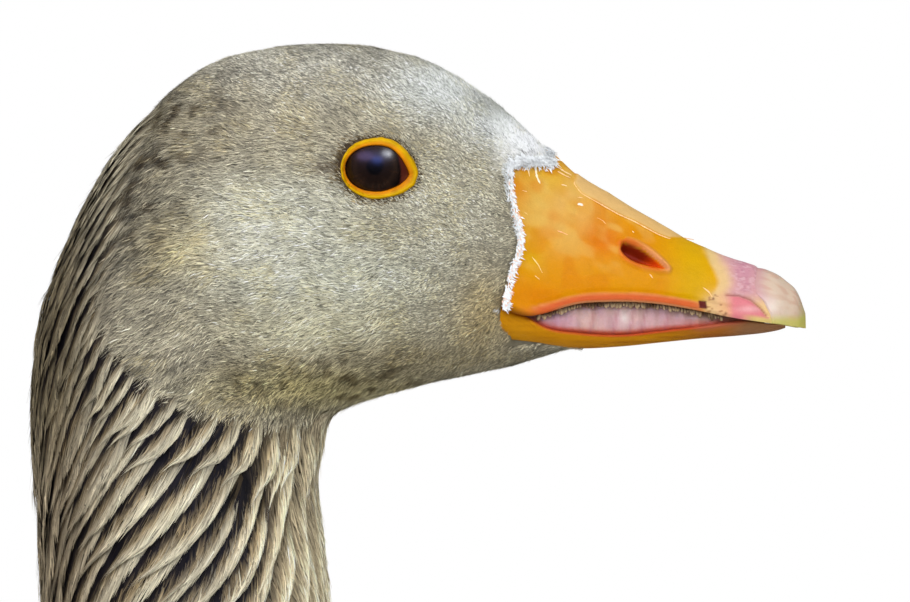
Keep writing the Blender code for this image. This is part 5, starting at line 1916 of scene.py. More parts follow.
def barb_tints(which, shapes, s, t, rng):
    """Painted shadow, near black, deep beside the neighbour; then brown, partly the feathers' own
    colour and partly painted shade; then the pale tone at the free edge, raised above the full
    tone as painted light. Each lock is darkened at its root as painted shade under the tip of the
    lock before, and each barb is darker at its root and paler at its tip.
    """
    place = shapes[:, 4]
    count = len(which)
    middle, half = neck_middle(place)
    front = ramp(0.45, 0.95, (place[:, 0] - middle) / half)
    full = head_and_neck_tone(place)[:, None, :] * np.ones((1, 5, 1))
    at = t + rng.normal(0, 0.10, count)[:, None]
    shade_strength = growth(place) * (1 - 0.6 * front)
    shadow = 0.3 * furrow_gap(place) / lock_room[which].mean(axis=1)[:, 0] - 0.5
    clear = 1 - shade_strength[:, None] * (1 - ramp(-0.08, 0.3, at - shadow[:, None]))
    pale = ramp(0.05, 0.7, at)[..., None]
    brown = np.array((0.58, 0.47, 0.32)) * (1 - pale) + 1.3 * pale
    shade = full * (1 - shade_strength[:, None, None] * (1 - brown)) * clear[..., None]
    # painted shadow: near black where the neighbour's free edge lies over this lock
    shade = shade + tone(18, 13, 9) * (1 - clear)[..., None]
    # painted shade at each lock's root, under the tip of the lock before
    under = 1 - 0.6 * shade_strength[:, None] * (1 - ramp(0.04, 0.32, s))
    own = lock_tone[which] * np.exp(rng.normal(0, 0.24, count))
    own = np.where(rng.random(count) < 0.12, own * 0.45, own)
    shade = shade * (under * own[:, None])[..., None]
    lengthwise = np.array((0.72, 0.72, 1.0, 1.0, 1.12))[None, :, None]
    return np.minimum(shade * lengthwise, 0.85)


LOCK_STUFF = tinted("neck_barbs", 0.7, (900.0, 4000.0, 0.1), None, 0.25)
near_view = (lock_path[:, 4, 1] < 8) & (lock_path[:, 3, 2] > -125)
barb_count = np.where(near_view, 380 * lock_size, 110).astype(int)
shown = np.repeat(np.arange(lock_count), barb_count)
barb_rng = np.random.default_rng(33)
thick = np.where(near_view[shown], 0.3, 0.66)[:, None]
barb_shapes, barb_s, barb_t = make_barbs(shown, barb_rng, thick)
barb_tint = barb_tints(shown, barb_shapes, barb_s, barb_t, barb_rng)
lock_uv = uv_near(lock_path[:, 0])
front_half = lock_path[:, 3, 0] > -50
parts = {
    "neck_locks_right_front": near_view & front_half,
    "neck_locks_right_rear": near_view & ~front_half,
    "neck_locks_right_lower": ~near_view & (lock_path[:, 4, 1] < 0),
    "neck_locks_left": ~near_view & (lock_path[:, 4, 1] >= 0),
}
for name, chosen in parts.items():
    mine = chosen[shown]
    data = coat_mesh(
        name, barb_shapes[mine], BARB, barb_tint[mine], lock_uv[shown[mine]], BARB_PATCH
    )
    piece(name, data, LOCK_STUFF)

# %% [markdown]
# ## Body feathers
# Below the neck the feathers are broad, rounded and laid like roof tiles, each over the root of
# the next, small on the breast and larger on the flank and back. A feather is a thin bowed vane
# with a shaft down its middle and a pale edge. It is bent to follow the body: its path is
# stepped out over the skin first.

# %% Vanes
VANE_S = np.array((0.0, 0.25, 0.5, 0.72, 0.88, 0.965, 1.0))
VANE_T = np.array((-1.0, -0.8, -0.35, 0.0, 0.35, 0.8, 1.0))
VANE_UV = np.stack(np.meshgrid(VANE_S, VANE_T, indexing="ij"), axis=-1).reshape(-1, 2)
VANE_FACES = tube_faces(len(VANE_S), len(VANE_T), closed=False)[:, ::-1]
VANE_PATCH = VANE_UV[:, ::-1] * (0.5, 1.0) + (0.5, 0.0)


def stepped_paths(tree, p, way_of, length, steps=6):
    """Paths over a surface from each root, with the surface's outward direction along them."""
    count = len(p)
    path, out = np.zeros((count, steps, 3)), np.zeros((count, steps, 3))
    place = np.array(p, float)
    for i in range(steps):
        for k in range(count):
            hit, normal, _, _ = tree.find_nearest(Vector(place[k]))
            path[k, i], out[k, i] = hit, normal
        place = path[:, i] + way_of(path[:, i], out[:, i]) * (length / (steps - 1))[:, None]
    return path, out


def vane_width(s, root, point):
    """The share of a vane's full width at a share of its length, from its root to its tip."""
    swell = root + (1 - root) * math.sin(min(s / 0.6, 1) * math.pi / 2)
    taper = 1 - (max(s - 0.55, 0) / 0.45) ** 2
    return swell * taper**point if s < 1 else 0.16


def vane_points(path, out, half, lift, dome=0.10, bend=70.0, point=0.5, root=0.3):
    """Points of vanes along their paths. half is half a width, lift how far a tip stands off."""
    count, steps = path.shape[:2]
    out = unit(out + out.mean(axis=1, keepdims=True) * 0.6)
    way = unit(np.gradient(path, axis=1))
    side = unit(np.cross(way, out))
    made = np.zeros((count, len(VANE_S), len(VANE_T), 3))
    for i, s in enumerate(VANE_S):
        j = min(int(s * (steps - 1)), steps - 2)
        share = s * (steps - 1) - j
        centre = path[:, j] * (1 - share) + path[:, j + 1] * share
        up = unit(out[:, j] * (1 - share) + out[:, j + 1] * share)
        across = side[:, j] * (1 - share) + side[:, j + 1] * share
        for k, t in enumerate(VANE_T):
            off = half * vane_width(s, root, point) * t
            back = 0.10 * half * t**2 * (s > 0.9)
            rise = lift * s + dome * half * (1 - t * t) - off**2 / (2 * bend)
            made[:, i, k] = centre + across * off[:, None] + up * rise[:, None]
            made[:, i, k] -= way[:, j] * back[:, None]
    return made.reshape(count, -1, 3)


def vane_tints(tint, edge, edge_tone, shaft=0.75):
    """Colour for each vane's points: darker down the shaft, paler at sides and tip."""
    s, t = VANE_UV[:, 0], np.abs(VANE_UV[:, 1])
    rim = np.maximum(ramp(0.7, 1.0, t) * ramp(0.3, 0.7, s), ramp(0.90, 0.97, s))
    middle = 1 - (1 - shaft) * ramp(0.3, 0.0, t)
    own = tint[:, None, :] * (0.72 + 0.28 * ramp(0.2, 0.8, s))[:, None] * middle[:, None]
    pale = np.atleast_2d(edge_tone)[:, None, :]
    return blend(own, pale, edge[:, None] * rim)


def spread_out(p, gap_of, way, squash=1.25, cell=10.0):
    """Picks roots that keep a gap from one another, further along the flow than across it."""
    kept, boxes = [], {}
    gaps = gap_of(p)
    keys = np.floor(p / cell).astype(int)
    steps = [(a, b, c) for a in (-1, 0, 1) for b in (-1, 0, 1) for c in (-1, 0, 1)]
    for k, (i, j, m) in enumerate(keys):
        near = [o for a, b, c in steps for o in boxes.get((i + a, j + b, m + c), ())]
        if near:
            step = p[near] - p[k]
            along = step @ way[k]
            off = (step * step).sum(axis=1) - along * along
            if (off + (along / squash) ** 2 < gaps[k] ** 2).any():
                continue
        boxes.setdefault((i, j, m), []).append(k)
        kept.append(k)
    return np.array(kept)


print("a vane has", len(VANE_FACES), "quads")

# %% [markdown]
# Up close a vane shows fine barbs that slant out from its shaft. They are too many to model on
# every feather, so they are a bump: a wave over the vane's own flat map, slanted the same way on
# both sides of the shaft.

# %% Vane material
def vane_stuff(name, roughness, barbs=90.0):
    """Feather vanes: the painted tint with fine barbs slanting out from the shaft."""
    made = tinted(name, roughness, (250.0, 1800.0, 0.12), None, 0.25)
    tree = made.node_tree
    flat = tree.nodes.new("ShaderNodeUVMap")
    flat.uv_map = "Vane"
    apart = node_in(tree, "ShaderNodeSeparateXYZ", {0: flat.outputs[0]})
    slant = maths(tree, "ABSOLUTE", apart.outputs[1], 0)
    phase = maths(tree, "SUBTRACT", apart.outputs[0], maths(tree, "MULTIPLY", slant, 0.35))
    wave = maths(tree, "SINE", maths(tree, "MULTIPLY", phase, barbs * 2), 0)
    give(tree, tree.nodes["Principled BSDF"], {"Normal": bump_of(tree, wave, 0.0004, 0.5)})
    return made


VANE_STUFF = vane_stuff("feather_vanes", 0.72)
DARK_VANE_STUFF = vane_stuff("flight_feathers", 0.55, 160.0)
print("vanes", VANE_STUFF.name, DARK_VANE_STUFF.name)

# %% [markdown]
# A folded wing lies on the body like a shield. Its solids are kept in two forms: a smooth skin
# to lay feathers on, and a core that is drawn in under them, thinned and shortened so that it
# never shows past the tips. A table gives the wing's edges as angles round the trunk.

# %% Wings' own shape
TRUNK = smooth_curve([  # station, top, bottom, half width, from the hips and the floor
    (-308.0, 291.0, 277.0, 18.0), (-262.0, 299.0, 279.0, 31.0), (-236.0, 301.0, 279.0, 36.0),
    (-205.0, 307.0, 232.0, 50.0), (-160.0, 329.0, 196.0, 68.0), (-100.0, 352.0, 166.0, 83.0),
    (-30.0, 371.0, 150.5, 91.5), (40.0, 381.0, 152.0, 92.5), (95.0, 379.0, 168.0, 88.5),
    (140.0, 368.0, 198.0, 76.0),
])
WING = smooth_curve([  # station, lower edge and upper edge in degrees round the trunk
    (118.0, 8.0, 34.0), (100.0, -8.0, 50.0), (60.0, -20.0, 63.0), (0.0, -25.0, 70.0),
    (-60.0, -23.0, 73.0), (-120.0, -17.0, 76.0), (-180.0, -9.0, 77.0), (-225.0, -2.0, 77.0),
    (-265.0, 4.0, 72.0), (-308.0, 12.0, 62.0),
])


def tree_of(names, depth_at, cell=2.5, rounds=4):
    """A smooth copy of some nodes, drawn in to a depth in mm, and its search tree."""
    data = wrapped_nodes(names, cell, rounds)
    points = points_of(data)
    points = points - normals_of(data) * depth_at(points)[:, None]
    set_points(data, points)
    return data, search_tree(points, [f.vertices for f in data.polygons])


def core_of(names, depth, from_x, shorter):
    """The solid shape under the feathers: drawn in by a depth, though by no more than a third of
    its own thickness, and shortened behind a station so that the feathers' tips reach past it."""
    data = copy_of_nodes(names, "core")
    points, normals = points_of(data), normals_of(data)
    tree = search_tree(points, [f.vertices for f in data.polygons])
    inset = np.full(len(points), depth)
    for k, (p, n) in enumerate(zip(points, normals)):
        _, _, _, far = tree.ray_cast(Vector(p - n * 0.05), Vector(-n))
        if far is not None:
            inset[k] = min(depth, far / 3)
    points = points - normals * inset[:, None]
    behind = np.minimum(points[:, 0] - HIP[0] - from_x, 0)
    points[:, 0] -= behind * (1 - shorter)
    set_points(data, points)
    data.shade_smooth()
    return data


def wing_nodes(side):
    return [f"wing_{side}_{part}" for part in ("coverts", "secondaries", "primaries")]


def wing_depth(p):
    return 0.4 + 1.2 * ramp(-300, -220, p[:, 0] - HIP[0])


wing_tree = {}
for side in ("left", "right"):
    _, wing_tree[side] = tree_of(wing_nodes(side), wing_depth, 1.4)
    core = core_of(wing_nodes(side), 2.4, -215, 0.7)
    at = points_of(core)
    paint(core, glazed(at, (104, 94, 80), [((48, 42, 38), ramp(-330, -390, at[:, 0]))]))
    piece(f"wing_core_{side}", core, SKIN_STUFF, wing_nodes(side))


def on_wing(side, x, share):
    """The point on a folded wing's outer side at a station and a share of the way up it."""
    tree = wing_tree[side]
    sign = dict(SIDES)[side]
    top, bottom, half = TRUNK(x)[0]
    low, high = WING(x)[0]
    angle = math.radians(low + (high - low) * share)
    centre = HIP + (x, 0, (top + bottom) / 2)
    way = unit(np.array((0, half * math.cos(angle), (top - bottom) / 2 * math.sin(angle))))
    way[1] *= sign
    hit, normal, _, _ = tree.ray_cast(Vector(centre + way * 160), Vector(-way))
    if hit is None:
        hit, normal, _, _ = tree.find_nearest(Vector(centre + way * 100))
    return np.array(hit), np.array(normal)

# %% [markdown]
# The vanes of the body stand in staggered rows. The gap between them is set by place, and each
# is about two and a half gaps long, so that any spot lies under two or three of them.

# %% Feather the body
def body_gap(p):
    x, z = p[..., 0] - HIP[0], p[..., 2] - HIP[2]
    gap = 6.6 + 3.6 * ramp(150, 20, x) + 1.6 * ramp(0, -150, x)
    gap = gap + 1.5 * ramp(300, 350, z) * ramp(120, 40, x)
    gap = gap - 2.0 * ramp(-330, -250, p[..., 2])
    return gap - 3.8 * ramp(178, 150, z)


def under_wing(p):
    """True where a folded wing hides the body."""
    hidden = np.zeros(len(p), bool)
    for side, tree in wing_tree.items():
        for k in np.nonzero(dict(SIDES)[side] * p[:, 1] > 10)[0]:
            _, _, _, far = tree.find_nearest(Vector(p[k]))
            hidden[k] |= far < 1.0
    return hidden


def make_body_coat():
    rng = np.random.default_rng(41)
    p, n, uv = scatter(lambda c: 0.30 * ramp(-268, -285, c[:, 2]), rng)
    order = rng.permutation(len(p))
    p, n, uv = p[order], n[order], uv[order]
    kept = spread_out(p, body_gap, lie(p, n))
    p, n, uv = p[kept], n[kept], uv[kept]
    clear = ~under_wing(p) & (p[:, 0] - HIP[0] > -204)
    p, n, uv = p[clear], n[clear], uv[clear]
    gap = body_gap(p)
    count = len(p)
    path, out = stepped_paths(skin_tree, p, lie, gap * rng.uniform(2.5, 3.0, count))
    half = gap * rng.uniform(0.78, 0.92, count)
    shapes = vane_points(path, out, half, gap * rng.uniform(0.22, 0.32, count))
    tint = body_tone(p) * np.exp(rng.normal(0, 0.08, count))[:, None]
    x, z = p[:, 0] - HIP[0], p[:, 2] - HIP[2]
    edge = 0.30 + 0.45 * ramp(80, 20, x) * ramp(180, 230, z)
    pale = np.minimum(tint * 1.9 + 0.05, 0.8)
    return shapes, vane_tints(tint, edge, pale), uv, p


shapes, tints, root_uv, roots = make_body_coat()
print("body feathers", len(roots))
for name, mine in (("front", roots[:, 0] > -150), ("rear", roots[:, 0] <= -150)):
    data = coat_mesh(
        f"body_{name}", shapes[mine], VANE_FACES, tints[mine], root_uv[mine], VANE_PATCH, VANE_UV
    )
    piece(f"body_feathers_{name}", data, VANE_STUFF)

# %% [markdown]
# ## Folded wings
# A folded wing shows its coverts in rows like tiles, then the long secondaries one above the
# other, and past them the dark primaries, whose tips cross over the root of the tail. Each long
# feather is laid from a root to a tip, given as a station along the body and a share of the
# wing's height.

# %% The rows of a wing
LONG_STEPS = 7  # points along the path of a long feather


def laid(side, rows, rng):
    """Paths and sizes for feathers given as (x, share at the root, x, share at the tip, half)."""
    paths, outs, halves = [], [], []
    for x0, u0, x1, u1, half in rows:
        x1, u1 = x1 + rng.normal(0, 1.5), u1 + rng.normal(0, 0.005)
        steps = np.linspace(0, 1, LONG_STEPS)
        line = [on_wing(side, x0 + (x1 - x0) * s, u0 + (u1 - u0) * s) for s in steps]
        paths.append([a for a, _ in line])
        outs.append([b for _, b in line])
        halves.append(half)
    return np.array(paths), np.array(outs), np.array(halves)


def wing_rows():
    """Every feather of one wing, as groups that lie over one another: name, feathers, how far
    they stand off, tone (none takes the body's own), how pale the edge is, and the edge's tone."""
    primaries = [
        (-150 - 5 * k, 0.16 + 0.09 * k, -311 + 7 * k, 0.24 + 0.08 * k, 8.5) for k in range(9)
    ]
    secondaries = [
        (-38 - 3 * k, 0.03 + 0.088 * k, -196 - 5 * k, 0.07 + 0.085 * k, 11.5) for k in range(10)
    ]
    greater = [
        (14 - 2 * k, 0.02 + 0.066 * k, -74 - 3 * k, 0.03 + 0.066 * k, 9.5) for k in range(15)
    ]
    median = [
        (52 - 2 * k, 0.03 + 0.06 * k, -12 - 2 * k, 0.03 + 0.06 * k, 8.5) for k in range(16)
    ]
    lesser = []
    for row, k in np.ndindex(7, 15):
        u = (k + 0.25 + 0.5 * (row % 2)) / 15
        x = 62 + 8.6 * row - 24 * u * (1 - row / 6)
        lesser.append((x, u, x - 34 + row, u, 7.6 - 0.35 * row))
    tertials = [
        (-20 - 6 * k, 0.84 + 0.03 * k, -200 + 16 * k, 0.86 + 0.03 * k, 12.5) for k in range(5)
    ]
    scapulars = []
    for row, k in np.ndindex(7, 4):
        x = 80 - 26 * row - 6 * k
        scapulars.append((x, 1.04 - 0.085 * k, x - 58, 1.02 - 0.08 * k, 9.5))
    flank = [(104 - 10 * k, 0.0, 66 - 10 * k, 0.06, 8.5) for k in range(27)]
    mantle = [(96 - 10 * k, 1.0, 58 - 10 * k, 0.955, 8.5) for k in range(27)]
    return [
        ("primaries", primaries, 0.6, (44, 38, 34), 0.35, (120, 112, 102)),
        ("secondaries", secondaries, 1.2, (84, 76, 66), 0.75, (206, 200, 186)),
        ("greater_coverts", greater, 2.2, (112, 102, 88), 0.7, (214, 208, 194)),
        ("median_coverts", median, 3.0, (122, 112, 97), 0.6, (204, 197, 182)),
        ("lesser_coverts", lesser, 3.4, (132, 124, 110), 0.5, (196, 190, 176)),
        ("tertials", tertials, 2.6, (92, 83, 71), 0.75, (210, 204, 190)),
        ("scapulars", scapulars, 4.2, (108, 98, 84), 0.7, (208, 202, 188)),
        ("flank_feathers", flank, 4.0, None, 0.5, (214, 208, 194)),
        ("mantle_feathers", mantle, 4.6, (112, 103, 90), 0.6, (204, 198, 184)),
    ]


print("feathers of a wing", {name: len(rows) for name, rows, *_ in wing_rows()})

# %% [markdown]
# The wing's front edge is tucked under feathers of the breast, which start on the skin ahead of
# it and arch over on to the wing. With these in place every group is laid, one piece to a group,
# and each later group lies a little higher than the one before.

# %% Lay every group of both wings
def breast_rows(side):
    """Feathers rooted on the breast that lie over the wing's front edge."""
    paths, outs = [], []
    for row, x in enumerate((121.0, 129.0)):
        for k in range(11 - row):
            u = (k + 0.5 * row) / 10
            edge, out = on_wing(side, x - 26, u * 0.96 + 0.02)
            start, _ = on_wing(side, 117.0, u * 0.9 + 0.05)
            root, way = on_skin(start + (x - 115, 0, 0))
            root = root + way * 2.0
            line = np.linspace(0, 1, LONG_STEPS)[:, None]
            rise = (way + out) * np.sin(line * math.pi) * 2.2
            paths.append(root * (1 - line) + (edge + out * 3.0) * line + rise)
            outs.append(unit(way * (1 - line) + out * line))
    return np.array(paths), np.array(outs), np.full(len(paths), 7.0)


def lay_vanes(name, path, out, half, lift, tint, edge, pale, stuff, slot="plumage_grey", **shape):
    """Makes one piece of vanes on given paths, each with its place on the skin's unwrap."""
    shapes = vane_points(path, out, half, np.full(len(half), lift), **shape)
    tints = vane_tints(tint, np.full(len(half), edge), tone(*pale))
    data = coat_mesh(name, shapes, VANE_FACES, tints, uv_near(path[:, 0]), VANE_PATCH, VANE_UV)
    return piece(name, data, stuff)


wing_rng = np.random.default_rng(51)
for side in ("left", "right"):
    for name, rows, lift, chart, edge, pale in wing_rows():
        path, out, half = laid(side, rows, wing_rng)
        count = len(half)
        rest = np.linspace(0, 0.5, count) + wing_rng.uniform(0, 0.25, count)
        path = path + unit(out) * (0.25 * lift + rest)[:, None, None]
        tint = body_tone(path[:, 0]) if chart is None else glazed(path[:, 0], chart)
        tint = tint * np.exp(wing_rng.normal(0, 0.07, count))[:, None]
        stuff = DARK_VANE_STUFF if name in ("primaries", "secondaries", "tertials") else VANE_STUFF
        slot = "plumage_dark" if name == "primaries" else "plumage_grey"
        lay_vanes(
            f"{name}_{side}", path, out, half, lift * 0.45 + 0.4, tint, edge, pale, stuff, slot,
            dome=0.14, bend=60.0, root=0.6,
        )
    path, out, half = breast_rows(side)
    tint = body_tone(path[:, 0]) * np.exp(wing_rng.normal(0, 0.07, len(half)))[:, None]
    lay_vanes(
        f"breast_over_wing_{side}", path, out, half, 1.2, tint, 0.35, (196, 190, 176), VANE_STUFF,
        root=0.6,
    )

# %% [markdown]
# ## Tail
# Sixteen broad feathers, closed to a short rounded fan, the middle pair on top. They are
# grey-brown with a white edge and tip, and the same fan is laid again below. A drawn-in core
# keeps the two apart.

# %% Tail feathers
TAIL = smooth_curve([  # station, top, bottom, half width, from the hips and the floor
    (-226.0, 291.5, 259.0, 37.0), (-245.0, 281.5, 261.0, 42.0), (-275.0, 271.5, 261.0, 49.0),
    (-305.0, 266.5, 260.5, 54.0), (-332.0, 263.0, 259.5, 54.0),
])
TAIL_ROOT, TAIL_TIP = -226.0, -330.0


def tail_rows(up, count=16):
    """Paths of the long feathers, side by side on the tail's upper or lower face."""
    paths, outs = [], []
    for k in range(count):
        u = 2 * (k + 0.5) / count - 1
        x = np.linspace(-230, -331 - 13 * (1 - u * u), LONG_STEPS)
        top, bottom, half = TAIL(x).T
        done = (x - TAIL_ROOT) / (TAIL_TIP - TAIL_ROOT)
        height = (top - bottom) / 2 * (1 - abs(u) ** 2.4) ** (1 / 2.4)
        stack = 1.6 * (1 - abs(u)) if up > 0 else 1.0 * abs(u)
        laid_in = 3.0 * ramp(-290, -236, x) - stack * ramp(-240, -290, x)
        z = (top + bottom) / 2 + up * (height - 0.8 - laid_in) - 4.0 * done * u * u
        paths.append(np.stack([x, u * 0.92 * half, z], axis=1) + HIP)
        outs.append([(0, 0.3 * u, up)] * LONG_STEPS)
    return np.array(paths), unit(np.array(outs, float)), np.full(count, 8.8)


TAIL_CHART = (104, 96, 84)
tail_core = core_of(["tail"], 2.8, TAIL_ROOT, 0.86)
paint(tail_core, glazed(points_of(tail_core), TAIL_CHART))
piece("tail_core", tail_core, SKIN_STUFF, ["tail"])
for name, up in (("tail_feathers", 1), ("tail_feathers_below", -1)):
    path, out, half = tail_rows(up)
    tint = tone(*TAIL_CHART) * np.exp(wing_rng.normal(0, 0.06, len(half)))[:, None]
    lay_vanes(name, path, out, half, 0.6, tint, 0.95, (236, 234, 228), VANE_STUFF, bend=90.0)

# %% [markdown]
# White coverts run on from the rump over the roots of the tail, above and below. They lie as
# the body's feathers do and all point backwards, so they are grown in the same way, on a smooth
# skin wrapped round trunk and tail together.

# %% Coverts of the tail
def rump_depth(p):
    return 3.4 - 3.6 * ramp(-218, -246, p[:, 0] - HIP[0])


def backwards(_, n):
    way = np.array((-1.0, 0, 0)) - n * (n @ (-1.0, 0, 0))[..., None]
    return unit(way)


def by_tail(p):
    """0 on the rump and 1 where the coverts lie on the tail."""
    return ramp(-215, -250, p[:, 0] - HIP[0])


def make_tail_coverts():
    form, tree = tree_of(["trunk", "tail"], rump_depth, 2.2)
    rng = np.random.default_rng(71)
    p, n = points_of(form), normals_of(form)
    x = p[:, 0] - HIP[0]
    mine = (x < -196) & (x > -282)
    p, n = p[mine], n[mine]
    order = rng.permutation(len(p))
    p, n = p[order], n[order]
    p = p[spread_out(p, lambda q: 7.6 + 2.0 * by_tail(q), backwards(p, n))]
    p = p[~under_wing(p)]
    count = len(p)
    path, out = stepped_paths(tree, p, backwards, rng.uniform(22, 26, count) + 8 * by_tail(p))
    tint = mixed(body_tone(p), (232, 230, 224), ramp(-206, -222, p[:, 0] - HIP[0]))
    tint = tint * np.exp(rng.normal(0, 0.05, count))[:, None]
    return path, out, 6.6 + 2.0 * by_tail(p), tint


path, out, half, tint = make_tail_coverts()
print("tail coverts", len(half))
lay_vanes("tail_coverts", path, out, half, 2.0, tint, 0.3, (240, 239, 234), VANE_STUFF)

# %% [markdown]
# ## Legs and feet
# The shank is bare and scaly, with broad plates down its front and small round scales behind.
# The three front toes are joined by a web. All of it is one relief worked into dense shapes.

# %% Shanks
HOCK, ANKLE = np.array((-25.0, 57.0, 107.7)), np.array((-3.0, 59.0, 14.3))
SHANK = smooth_curve([  # share of the way down, half depth, half width
    (0.0, 9.4, 8.6), (0.1, 9.0, 8.2), (0.28, 6.8, 6.2), (0.6, 6.3, 5.6), (0.85, 6.9, 6.0),
    (1.0, 7.4, 6.8),
])
SHANK_LONG, SHANK_ROUND = 94.0, 7.0  # its length, and a mean radius to measure scales round it
DOME = 0.0501  # share of the shank that its domed top adds


def scales(u, v, size):
    """Raised rounded scales in staggered rows: 1 on a scale, 0 in the crease round it."""
    row = np.floor(v / (size * 0.87))
    fu = (u / size + 0.5 * (row % 2)) % 1 - 0.5
    fv = (v / (size * 0.87)) % 1 - 0.5
    return ramp(0.56, 0.30, np.hypot(fu, fv * 0.87))


def plates(v, size, jitter=0.0):
    """Overlapping plates along a line: rises slowly and drops quickly."""
    f = (v / size + jitter) % 1
    return ramp(0.0, 0.15, f) * (0.65 + 0.35 * f) * ramp(1.0, 0.93, f)


def shank(side):
    share = np.linspace(-0.05, 1, 200)[:, None]
    turn = np.linspace(0, 2 * math.pi, 110, endpoint=False)[None]
    knee = np.sqrt(np.maximum(1 - np.minimum(share, 0) ** 2 / DOME**2, 0))
    depth, width = np.moveaxis(SHANK(np.maximum(share[:, 0], 0)) * knee, -1, 0)
    centre = HOCK * (1 - share) + ANKLE * share + (8.0, 0, 0) * (1 - knee)
    around, down = turn * SHANK_ROUND, share * SHANK_LONG
    front = ramp(0.15, 0.45, np.cos(turn))
    grain = scales(around, down, 2.1) * (1 - front) * 0.45
    grain = grain + plates(down + 1.2 * np.cos(turn * 2), 4.0) * front * 0.6
    grain = grain * knee
    rx, ry = depth[:, None] + grain - 0.4 * knee, width[:, None] + grain - 0.4 * knee
    x, y = centre[:, :1] + rx * np.cos(turn), centre[:, 1:2] + ry * np.sin(turn)
    z = np.broadcast_to(centre[:, 2:], x.shape)
    rings = np.stack([x, side * y, z], axis=-1) + HIP
    data = closed_tube("shank", rings)
    colour = glazed(rings, (206, 112, 30), [
        # painted shade: darker in the creases round scales and plates, where the relief is low
        ((150, 74, 24), 1 - np.clip(grain / 0.45, 0, 1)),
        ((222, 140, 62), 0.5 * front * plates(down, 4.0)),
    ])
    paint(data, np.concatenate([colour.reshape(-1, 3), np.tile(tone(180, 92, 26), (2, 1))]))
    return data


LEG_STUFF = tinted(
    "scaly_leg", 0.5, (300.0, 1800.0, 0.14), (2500.0, 500.0, 1.0, 0.00015, 0.5), 0.5,
    (("Subsurface Weight", 0.08), ("Subsurface Scale", 0.001)),
)
for name, side in SIDES:
    piece(f"scaly_shank_{name}", shank(side), LEG_STUFF, [f"shank_{name}"])

# %% [markdown]
# Where the feathered leg meets the bare shank, short white feathers hang over the joint like a
# cuff. Three rings of vanes are hung from the leg, so that no edge of either shape shows.

# %% Feathers over the hock
def cuff(side, count=11):
    """Paths of small feathers that hang from the leg over the top of the shank."""
    paths, outs = [], []
    line = np.linspace(0, 1, 6)[:, None]
    for row, k in np.ndindex(3, count):
        turn = 2 * math.pi * (k + 0.5 * row) / count
        way = np.array((math.cos(turn), 0.92 * math.sin(turn), 0.0))
        top = np.array((-15.5, 55.3, 127.5 - 4.0 * row))
        low = np.array((-24.8, 57.0, 105.0 - 2.0 * row + 3.0 * math.cos(turn)))
        radius = 7.8 + (3.4 - 0.4 * row) * line - 0.6 * way[0] * line
        paths.append((top * (1 - line) + low * line + way * radius) * (1, side, 1) + HIP)
        outs.append([way * (1, side, 1)] * 6)
    return np.array(paths), unit(np.array(outs)), np.full(len(paths), 3.6)


for name, side in SIDES:
    path, out, half = cuff(side)
    tint = tone(226, 222, 212) * np.exp(wing_rng.normal(0, 0.06, len(half)))[:, None]
    lay_vanes(f"hock_feathers_{name}", path, out, half, 0.5, tint, 0.3, (236, 234, 228), VANE_STUFF)

# %% [markdown]
# The foot is worked out in plan first, as lines that fan from the heel: three along each toe
# and three across each web, with the web's edge curving in between two toes.

# %% The plan of a foot
TOES = ((-29.0, 71.0), (0.0, 82.0), (30.0, 62.0))  # angle, + is inwards, and length
TOE_HEIGHT, TOE_HALF, WEB_THICK, HEEL_HIGH = 6.4, 3.7, 1.6, 13.6


def foot_reach(turn):
    for (low, near), (high, far) in zip(TOES, TOES[1:]):
        if turn <= high:
            break
    share = min(max((turn - low) / (high - low), 0), 1)
    scallop = 1 - 0.17 * math.sin(math.pi * share) ** 0.7 if 0 < share < 1 else 1
    return (near * (1 - share) + far * share) * scallop


def foot_plan(rows=90, finer=7):
    """(x, y) in plan and the distance from the heel, over a grid of rows and fanned lines."""
    lines = []
    for k, (turn, _) in enumerate(TOES):
        lines += [(turn, -TOE_HALF), (turn, 0.0), (turn, TOE_HALF)]
        if k < 2:
            lines += [(turn + (TOES[k + 1][0] - turn) * s, 0.0) for s in (0.27, 0.5, 0.73)]
    out = np.linspace(0, 1, rows)
    plan = []
    for j, (turn, aside) in enumerate(lines):
        share = 2 * j / (len(lines) - 1) - 1
        far = out * (foot_reach(turn) - 0.5 * abs(aside))
        fade = (1 - out) ** 3
        off = aside * np.minimum(1, far / 20)
        along = math.radians(turn)
        round_heel = math.pi / 2 * share
        x = far * math.cos(along) - off * math.sin(along) - 8.0 * math.cos(round_heel) * fade
        y = far * math.sin(along) + off * math.cos(along) + 7.4 * math.sin(round_heel) * fade
        plan.append(np.stack([x, y, far], axis=-1))
    plan = np.stack(plan, axis=1)
    at = np.linspace(0, len(lines) - 1, (len(lines) - 1) * finer + 1)
    j = np.clip(at.astype(int), 0, len(lines) - 2)
    part = (at - j)[None, :, None]
    return plan[:, j] * (1 - part) + plan[:, j + 1] * part


print("plan of a foot", foot_plan().shape)

# %% [markdown]
# The height of the foot is worked out over the plan. A toe is a rounded ridge with knuckles and
# overlapping plates. Between the toes the web is thin, with small scales and soft wrinkles.

